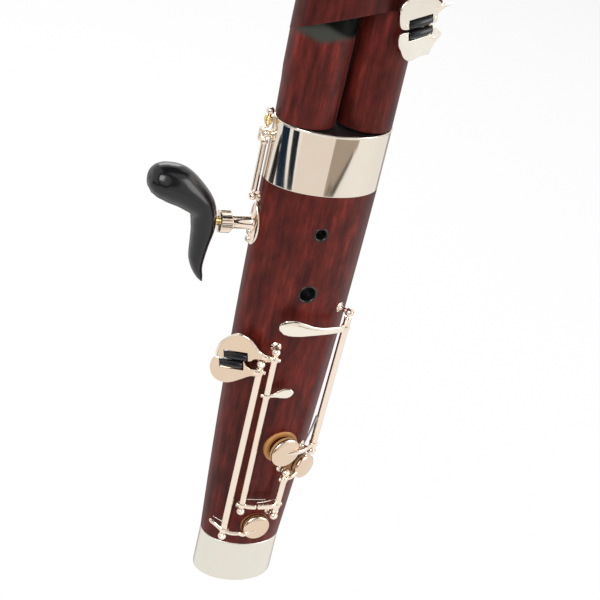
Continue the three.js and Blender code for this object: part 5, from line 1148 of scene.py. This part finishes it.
def make_f():
    low, high = at(BOOT, F_ROD, 57.4, OUT), at(BOOT, F_ROD, F_TOP, OUT)
    axis = (high - low).normalized()
    plane = BOOT_PLANE
    middle = 0.1 * 14.4
    blank, cutter, pin = plate_shells(plane, UPPER, middle, 1)
    build("f_key_plate", blank, "rose", "f_key", cutters=[cutter], bevel=0.42, angle=50)
    geo = tube_of(low, high, 1.85).add(pin).add(plate_rim(plane, UPPER, (0.02, 0.52)))
    root_p, root_q = 14.4 * 1.2, 16.2 * 0.26
    root_z = min(on_plane(plane, root_p, root_q).z, F_TOP - 5)
    geo.add(strip([(on_plane(plane, root_p, root_q), 2.0, 0.75),
                   (on_plane(plane, root_p * 1.15, root_q * 0.9), 1.7, 0.8),
                   (on_rod(low, high, root_z), 1.4, 1.3)], plane["out"]))
    leaf_foot = on_rod(low, high, 138.5)
    touch = [(0, 0, 0.7), (0.3, 0.05, 0.9), (0.52, 0.13, 1.8), (0.75, 0.2, 2.2), (0.93, 0.23, 1.7),
             (1, 0.24, 0.8)]
    leaf = strip([(leaf_foot + vec(a * 14, -a * 2, r * 14), w * 1.5, 0.75) for a, r, w in touch],
                 vec(0, -1, 0), crown=0.6)
    build("f_key_leaf", leaf, "pearl", "f_key", angle=42)
    bar = OUT + 0.9
    geo.add(strip([(on_rod(low, high, LINK_Z), 1.5, 0.9), (at(BOOT, F_ROD + 6, LINK_Z, bar), 1.5, 0.9),
                   (link_meet(bar) - vec(1.15, 0, 0), 1.5, 0.85)],
                  vec(-0.2, -1, 0), crown=0.45))
    for z in (root_z, 138.5, LINK_Z):
        geo.add(hub(on_rod(low, high, z), axis, 1.85))
    aside = across(BOOT, F_ROD, root_z)
    geo.add(stub(on_rod(low, high, root_z), aside))
    geo.add(stub(on_rod(low, high, 138.5), -aside))
    geo.add(stub(on_rod(low, high, LINK_Z), -aside))
    build("f_key_levers", geo, "silver", "f_key", ["f_key"], angle=42)
    make_roller("f_roller", plane, middle, 1)
    make_pivot("f_key", low, high, BOOT, F_ROD)
    spring = needle(at(BOOT, -109.2, 64.6, 3.4), at(BOOT, -86.5, 66.0, 5.0))
    build("f_spring", spring, "satin", "bassoon")


def make_f_cup():
    low, high = at(BOOT, FC_ROD, 53.7, OUT), at(BOOT, FC_ROD, 85.1, OUT)
    axis = (high - low).normalized()
    cup = cup_parts(BOOT, FC_CUP, 85.5, 7.5, 1.5)
    collar = 85.1 - 4.6
    base = on_rod(low, high, collar)
    crown = cup["top"] - cup["out"] * 0.4
    near = cup["rim"] + (base - cup["rim"]).normalized() * 6.6 + cup["out"] * 1.6
    arm = strip([(base, 1.4, 0.9), (base.lerp(near, 0.5) + normal(BOOT, FC_ROD + 10, collar) * 1.2, 1.35,
                                    0.85), (near, 1.3, 0.8), (near.lerp(crown, 0.55), 1.0, 0.7, cup["out"]),
                 (crown, 0.5, 0.4, cup["out"])], normal(BOOT, FC_ROD, collar), crown=0.95)
    bar = OUT + 0.9
    link = strip([(on_rod(low, high, LINK_Z), 1.5, 0.9), (at(BOOT, FC_ROD - 6, LINK_Z, bar), 1.6, 0.9),
                  (link_meet(bar) + vec(1.15, 0, 0), 1.6, 0.85)], vec(-0.2, -1, 0), crown=0.45)
    aside = across(BOOT, FC_ROD, LINK_Z)
    fixed = Geo(link, hub(on_rod(low, high, LINK_Z), axis), stub(on_rod(low, high, LINK_Z), aside))
    pose(fixed, low, high, F_OPEN)
    geo = Geo(tube_of(low, high), fixed, arm, hub(base, axis), stub(base, -aside))
    pose(geo, low, high, -F_OPEN)
    pose(cup["shell"], low, high, -F_OPEN)
    pose(cup["pad"], low, high, -F_OPEN)
    build("f_cup_key_levers", geo, "silver", "f_cup_key", ["f_cup_key"], angle=42)
    build("f_cup_key_cup", cup["shell"], "rose", "f_cup_key", angle=42)
    pad_piece("f_cup_pad", cup, "f_cup_key", ["f_cup_key_pad"])
    make_pivot("f_cup_key", low, high, BOOT, FC_ROD)
    seat = lathe([(6.0, -2.0), (6.0, 0.75), (6.3, 1.0), (8.0, 1.0), (8.5, 0.8), (8.75, 0.3), (8.75, -2.0)],
                 at(BOOT, FC_CUP, 85.5), cup["out"], 72, closed=True)
    build("f_seat_rim", seat, "seat_gold", "bassoon", angle=50)
    spring = needle(at(BOOT, -73.6, 63.9, 3.2), at(BOOT, -96.6, 64.5, 6.0), vec(0, 0, -0.4))
    build("f_cup_spring", spring, "satin", "bassoon")


def make_g():
    low, high = at(BOOT, G_FOOT, 97.2, G_OUT), at(BOOT, G_ROD, 191.25, G_OUT)
    axis = (high - low).normalized()
    cup = cup_parts(BOOT, G_CUP, 100.5, 9.2, 2.2)
    arm = cup_arm(BOOT, G_FOOT, G_OUT, 102.3, cup, G_CUP, 9.2)
    lobe = [(-112.5, 0, 0.62), (-110.5, 0, 0.86), (-104, 0, 1), (-95, -0.1, 0.86), (-86, -0.22, 0.6),
            (-76, -0.3, 0.46), (-64, -0.38, 0.42), (-54, -0.48, 0.42), (G_ROD, -0.65, 0.45)]
    stations = []
    for i, (deg, drop, wide) in enumerate(lobe):
        z = 184.95 + drop * 4.9
        lift = G_OUT if i == len(lobe) - 1 else G_OUT + 1.12
        stations.append((at(BOOT, deg, z, lift), wide * 4.9, 0.8 if i else 0.55, normal(BOOT, deg, z)))
    touch = Geo(strip(stations, vec(0, -1, 0), crown=0.7, sides=28))
    joint = hub(at(BOOT, G_ROD, stations[-1][0].z, G_OUT), axis)
    pose(touch, low, high, -G_OPEN)
    aside = across(BOOT, G_FOOT, 102.3, G_OUT)
    geo = Geo(tube_of(low, high), joint, arm, hub(at(BOOT, G_FOOT, 102.3, G_OUT), axis),
              stub(at(BOOT, G_FOOT, 102.3, G_OUT), aside))
    for shape in (geo, touch, cup["shell"], cup["pad"]):
        pose(shape, low, high, G_OPEN)
    build("g_key_levers", geo, "silver", "g_key", ["g_key"], angle=42)
    build("g_key_touch", touch, "pearl", "g_key", angle=42)
    build("g_key_cup", cup["shell"], "rose", "g_key", angle=42)
    pad_piece("g_pad", cup, "g_key", ["g_key_pad"])
    make_pivot("g_key", low, high, BOOT, (G_FOOT, G_ROD))
    seat = lathe([(7.2, -2.0), (7.2, 0.75), (7.5, 1.0), (9.2, 1.0), (9.9, 0.85), (10.3, 0.45), (10.4, -0.2),
                  (10.4, -2.0)], at(BOOT, G_CUP, 100.5), cup["out"], 80, closed=True)
    build("g_seat_rim", seat, "seat_gold", "bassoon", angle=50)
    spring = sweep(spline([at(BOOT, -46, 121.5, 5.6), at(BOOT, -49.5, 112, 5.2), at(BOOT, -52, 104.6, 4.6)],
                          8), [lerp(0.85, 0.3, k / 16) for k in range(17)], 12)
    build("g_spring", spring, "steel", "bassoon")


# Lever keys of the back and the upper joints

def make_lever(name, host, start, end, key):
    rod_deg, cup_deg, radius, touch, opening, shares = key
    z = lambda s: lerp(start, end, s)
    low, high = at(host, rod_deg, z(shares[0]), OUT), at(host, rod_deg, z(shares[1]), OUT)
    axis = (high - low).normalized()
    cup = cup_parts(host, cup_deg, z(shares[2]), radius, 0.8, 56)
    arm = cup_arm(host, rod_deg, OUT, z(shares[2]), cup, cup_deg, radius)
    tz = z(shares[3])
    sign = -math.copysign(1, cup_deg - rod_deg)
    lift, step = OUT + 1.2, (touch - rod_deg) / 4
    stations = [(at(host, rod_deg + step * k, tz, lift if k else OUT), w * 3.3, 0.8,
                 normal(host, rod_deg + step * k, tz))
                for k, w in ((0, 0.5), (1, 0.5), (2, 0.8), (3, 1), (4, 0.6))]
    paddle = Geo(strip(stations, normal(host, rod_deg, tz), crown=0.65),
                 hub(at(host, rod_deg, tz, OUT), axis))
    rest = sign * opening if opening else 0
    if rest:
        pose(paddle, low, high, -rest)
    aside = across(host, rod_deg, z(shares[2])) * sign
    geo = Geo(tube_of(low, high), paddle, arm, hub(at(host, rod_deg, z(shares[2]), OUT), axis),
              stub(at(host, rod_deg, z(shares[2]), OUT), aside, 1.1))
    if rest:
        for shape in (geo, cup["shell"], cup["pad"]):
            pose(shape, low, high, rest)
    build(name + "_levers", geo, "silver", name, [name], angle=42)
    build(name + "_cup", cup["shell"], "rose", name, angle=42)
    pad_piece(name + "_pad_skin", cup, name, [name + "_pad"] if name + "_pad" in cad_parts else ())
    make_pivot(name, low, high, host, rod_deg)
    side = math.copysign(1, touch - rod_deg)
    spring = needle(at(host, rod_deg + side * 4, low.z + 5, 2.2),
                    at(host, rod_deg + side * 7, low.z + 24 if high.z - low.z > 40 else low.z + 14, 3.6))
    build(name + "_spring", spring, "steel", "bassoon")


LEVERS = [
    ("low_e_key", BOOT, 28.5, 261, (48, 92, 8.6, 96, 6, (0.32, 0.68, 0.4, 0.62))),
    ("f_sharp_key", BOOT, 28.5, 261, (52, 90, 6.4, 30, 0, (0.06, 0.28, 0.14, 0.24))),
    ("b_flat_key", BOOT, 28.5, 261, (52, 90, 6, 17, 0, (0.74, 0.97, 0.82, 0.766))),
    ("whisper_key", WING, 345, 519, (148, 104, 4.6, 118, 5, (0.3, 0.93, 0.86, 0.38))),
    ("c_speaker_key", WING, 345, 519, (100, 56, 4.6, 126, 0, (0.08, 0.62, 0.52, 0.16))),
    ("low_d_key", LONG, 296, 664, (62, 14, 6.6, 32, 6, (0.28, 0.55, 0.48, 0.33))),
    ("low_c_key", LONG, 296, 664, (62, 14, 6.4, 32, 6, (0.59, 0.88, 0.8, 0.64))),
    ("bell_key", BELL, 712, 800, (62, 108, 6.6, 30, 0, (0.12, 0.86, 0.6, 0.3))),
]

LONG_UPPER = [(-1.02, 0.58), (-0.97, 0.84), (-0.67, 1.04), (-0.2, 1.17), (0.3, 1.13), (0.62, 0.92),
              (0.81, 0.73), (1.05, 0.55), (1.57, 0.49), (1.06, 0.42), (0.82, 0.29), (0.74, 0.04), (0.3, 0.04),
              (-0.3, 0.04), (-0.77, 0.08), (-0.93, 0.16), (-1, 0.32)]
LONG_LOWER = [(-0.98, -0.05), (-1.03, -0.4), (-0.92, -0.6), (-0.78, -0.86), (-0.51, -1.03), (-0.13, -1),
              (0.19, -0.98), (0.45, -0.99), (0.51, -0.87), (0.75, -0.64), (1.03, -0.41), (0.85, -0.23),
              (0.65, -0.07), (0, -0.04), (-0.6, -0.04)]


def make_plate_key(name, plane, side, shares, rod_deg, low_z, high_z, cup_deg, cup_z, radius, root):
    low, high = at(LONG, rod_deg, low_z, 5), at(LONG, rod_deg, high_z, 5)
    axis = (high - low).normalized()
    blank, cutter, pin = plate_shells(plane, shares, 0, side)
    build(name + "_plate", blank, "satin" if side < 0 else "plate", name, cutters=[cutter],
          bevel=0.42, angle=50)
    cup = cup_parts(LONG, cup_deg, cup_z, radius, 0.8, 56)
    on_leaf = on_plane(plane, root[0] * 13, root[1] * 16.6)
    in_leaf = on_plane(plane, root[0] * 13 * 0.6, root[1] * 16.6)
    root_z = max(on_leaf.z, low_z + 5)
    facing = normal(LONG, rod_deg, root_z)
    geo = tube_of(low, high).add(pin).add(cup["shell"])
    geo.add(cup_arm(LONG, rod_deg, 5, cup_z, cup, cup_deg, radius))
    geo.add(strip([(in_leaf, 1.7, 0.75), (on_leaf, 1.5, 0.75),
                   (at(LONG, rod_deg, root_z, 6), 1.4, 0.8, facing),
                   (at(LONG, rod_deg, root_z, 5), 1.4, 0.8, facing)], plane["out"]))
    geo.add(hub(at(LONG, rod_deg, root_z, 5), axis)).add(hub(at(LONG, rod_deg, cup_z, 5), axis))
    if side > 0:
        geo.add(plate_rim(plane, shares, (0.02, 0.36)))
    for end in (-1, 1):
        ear = on_plane(plane, end * (plane["length"] / 2 + 1.7), side * plane["pitch"] / 2, 0.7)
        geo.add(lathe([(0.75, 0), (0.75, 0.18), (0.4, 0.26), (0, 0.26)], ear, plane["out"], 20))
    build(name + "_levers", geo, "silver", name, [name], angle=42)
    pad_piece(name + "_pad_skin", cup, name)
    make_roller(name.replace("_key", "_roller"), plane, 0, side)
    make_pivot(name, low, high, LONG, rod_deg)


def make_lock():
    low, high = at(BOOT, 177, 249, 3.2), at(BOOT, 177, 285.6, 3.2)
    out = normal(BOOT, 177, 285.6)
    along = (high - low).normalized()

    def on_axis(z, side=0.0):
        return low + (high - low) * ((z - low.z) / (high.z - low.z)) + out * side

    above = 285.6 + BALL
    wrap = BALL + 0.9 + 2 * GAP
    bracket = strip([(on_axis(285.6 - BALL - 2), 1.2, 0.8), (on_axis(285.6 - BALL - 1, wrap * 0.7), 1.2,
            0.75), (on_axis(285.6, wrap * 0.8), 1.1, 0.6),
                     (on_axis(above, wrap * 0.72), 1.2, 0.75), (on_axis(above + 1.8), 1.2, 0.8)], out)
    geo = Geo(tube_of(low, high, 1.65), bracket, rod(on_axis(above + 0.9), on_axis(298.5), 0.9, 20, 0.1),
              ball(on_axis(298.4), 2.15, along),
              hub(on_axis(285.6 - BALL - 2), along, 1.65, 2.6))
    build("lock_key_levers", geo, "silver", "lock_key", ["lock_key"], angle=42)
    foot = on_axis(above + 2.7)
    sleeve = [(1.2, 0), (1.5, 0), (1.75, 0.4), (2.0, 1.0), (1.9, 1.25), (2.15, 1.5), (2.35, 2.1), (2.2, 2.4),
              (2.4, 2.7), (2.4, 3.4), (2.25, 3.7), (2.35, 4.0), (2.2, 4.6), (1.9, 4.9), (1.9, 5.2),
              (1.2, 5.2)]
    build("lock_barrel_brass", lathe(sleeve, foot, along, 40, closed=True), "brass", "lock_key",
          ["lock_barrel"])
    make_pivot("lock_key", low, high, BOOT, 177, 2.2)


def hidden_fittings():
    for name, look in (("boot_bend", "brass"), ("boot_bend_gasket", "cork"), ("wing_tenon_lapping", "thread"),
                       ("long_tenon_lapping", "thread")):
        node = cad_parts[name]
        node.data.materials.clear()
        node.data.materials.append(MATERIALS[look])


make_boot()
make_fittings()
make_wing()
make_long()
make_bell()
make_crook()
make_hand_rest()
make_a_flat()
make_f()
make_f_cup()
make_g()
for name, host, start, end, key in LEVERS:
    make_lever(name, host, start, end, key)
make_plate_key("low_c_sharp_key", LONG_PLANE, -1, LONG_LOWER, -35, 344.3, 574, 8, 560, 5.6, (0.72, -0.5))
make_plate_key("low_e_flat_key", LONG_PLANE, 1, LONG_UPPER, -5, 363, 396, 38, 386, 5.4, (1.1, 0.5))
make_lock()
hidden_fittings()


# Studio: pale floor, soft light, white surround

FLOOR = -0.35
SURROUND = 0.7


def seen_share(tree):
    """1 for camera, glossy and transmission rays, and 0 for the others."""
    path = add_node(tree, "ShaderNodeLightPath")
    share = path.outputs["Is Camera Ray"]
    for ray in ("Is Glossy Ray", "Is Transmission Ray"):
        share = joined(tree, "MAXIMUM", share, path.outputs[ray])
    return share


def make_stage():
    m, tree, shader = new_material("floor")
    tree.nodes.remove(shader)
    matte = add_node(tree, "ShaderNodeBsdfDiffuse", Color=(0.85, 0.85, 0.85, 1))
    glow = add_node(tree, "ShaderNodeEmission", Color=(1, 1, 1, 1))
    mix = add_node(tree, "ShaderNodeMixShader")
    tree.links.new(ranged(tree, seen_share(tree), 0, SURROUND), mix.inputs[0])
    tree.links.new(matte.outputs[0], mix.inputs[1])
    tree.links.new(glow.outputs[0], mix.inputs[2])
    tree.links.new(mix.outputs[0], tree.nodes["Material Output"].inputs["Surface"])
    mesh = bpy.data.meshes.new("floor")
    mesh.from_pydata([(x, y, FLOOR) for x, y in ((-6, -6), (6, -6), (6, 6), (-6, 6))], [], [(0, 1, 2, 3)])
    floor = bpy.data.objects.new("floor", mesh)
    mesh.materials.append(m)
    bpy.context.scene.collection.objects.link(floor)


def make_card(k, corners, colour):
    """A matt card that only polished surfaces show."""
    look = f"card_{k}"
    m, tree, shader = new_material(look)
    tree.nodes.remove(shader)
    glow = add_node(tree, "ShaderNodeEmission", Color=(*colour, 1))
    tree.links.new(glow.outputs[0], tree.nodes["Material Output"].inputs["Surface"])
    mesh = bpy.data.meshes.new(look)
    mesh.from_pydata(corners, [], [tuple(range(len(corners)))])
    mesh.materials.append(m)
    card = bpy.data.objects.new(look, mesh)
    bpy.context.scene.collection.objects.link(card)
    card.visible_camera = card.visible_diffuse = card.visible_shadow = card.visible_transmission = False


def on_floor(azimuth, distance, lift):
    a = math.radians(azimuth)
    return (distance * math.cos(a), distance * math.sin(a), FLOOR + lift)


# Low cards as (azimuth, distance) corners, with their shades
LOW_CARDS = [
    ([(-166, 1.36), (-139, 1.36), (-161, 1.6), (-161, 4), (-188, 4), (-188, 1.6)], (0.012, 0.026, 0.052)),
    ([(-136, 1.36), (-126, 1.36), (-136.5, 1.6), (-136.5, 4), (-151.5, 4), (-151.5, 1.6)],
     (0.016, 0.023, 0.034)),
    ([(-123, 1.3), (-78, 1.3), (-78, 1.7), (-78, 4), (-100, 4), (-132, 4), (-132, 1.7)],
     (0.96, 0.885, 0.835)),
    ([(-79, 1.36), (-70, 1.36), (-63, 1.42), (-57, 1.475), (-53, 1.53), (-48, 1.57), (-46, 1.7), (-79, 1.7)],
     (0.47, 0.395, 0.335)),
    ([(-78.6, 1.36), (-70, 1.36), (-65.5, 1.405), (-74, 1.415)], (0.26, 0.215, 0.175)),
    ([(-72.5, 1.36), (-67, 1.36), (-60.5, 1.425), (-55.5, 1.48), (-51.5, 1.535), (-53.5, 1.542), (-59, 1.487),
      (-66.5, 1.42)], (0.085, 0.072, 0.058)),
    ([(28, 0.25), (50, 0.25), (80, 0.25), (112, 0.25), (112, 4), (80, 4), (50, 4), (28, 4)],
     (0.46, 0.42, 0.39)),
]


def make_cards():
    for k, (corners, colour) in enumerate(LOW_CARDS):
        make_card(k, [on_floor(a, d, 0.002 + 0.001 * k) for a, d in corners], colour)
    make_card(len(LOW_CARDS), [(-0.5, -0.35, 1.7), (0.9, -0.35, 1.7), (0.9, 0.8, 1.7), (-0.5, 0.8, 1.7)],
              (0.02, 0.018, 0.016))


def make_ring_card():
    middle, toward = Vector((0, 0, 0.19)), Vector((-0.368, -0.804, 0.468)).normalized()
    side = toward.cross(Z).normalized()
    rise = side.cross(toward)
    far, inner, outer, steps = 1.1, 0.66, 1.12, 24
    for k in range(steps):
        corners = []
        for r, j in ((inner, k), (outer, k), (outer, k + 1), (inner, k + 1)):
            a = 2 * math.pi * j / steps
            corners.append(tuple(middle + toward * far + side * (r * math.cos(a)) + rise * (r * math.sin(a))))
        make_card(f"ring_{k}", corners, (0.03, 0.027, 0.025))


def make_world():
    world = bpy.data.worlds.new("world")
    bpy.context.scene.world = world
    world.use_nodes = True
    tree = world.node_tree
    back = tree.nodes["Background"]
    tree.links.new(ranged(tree, seen_share(tree), SURROUND, 1), back.inputs["Strength"])
    back.inputs["Color"].default_value = (1, 1, 1, 1)


def make_lamp(name, place, target, size, power):
    data = bpy.data.lights.new(name, "AREA")
    data.shape, data.size, data.size_y, data.energy = "RECTANGLE", size[0], size[1], power
    lamp = bpy.data.objects.new(name, data)
    bpy.context.scene.collection.objects.link(lamp)
    lamp.location = place
    lamp.rotation_mode = "QUATERNION"
    lamp.rotation_quaternion = (Vector(target) - Vector(place)).to_track_quat("-Z", "Y")
    lamp.visible_camera = False


make_stage()
make_cards()
make_ring_card()
make_world()
make_lamp("key_light", (-1.6, -1.8, 1.9), (0, 0, 0.3), (1.2, 1.6), 46)
make_lamp("fill_light", (1.8, -1.2, 1.0), (0, 0, 0.3), (1.0, 1.6), 20)
make_lamp("back_light", (0.4, 2.2, 1.6), (0, 0, 0.4), (1.6, 1.2), 20)

bpy.context.scene.view_settings.view_transform = "Standard"
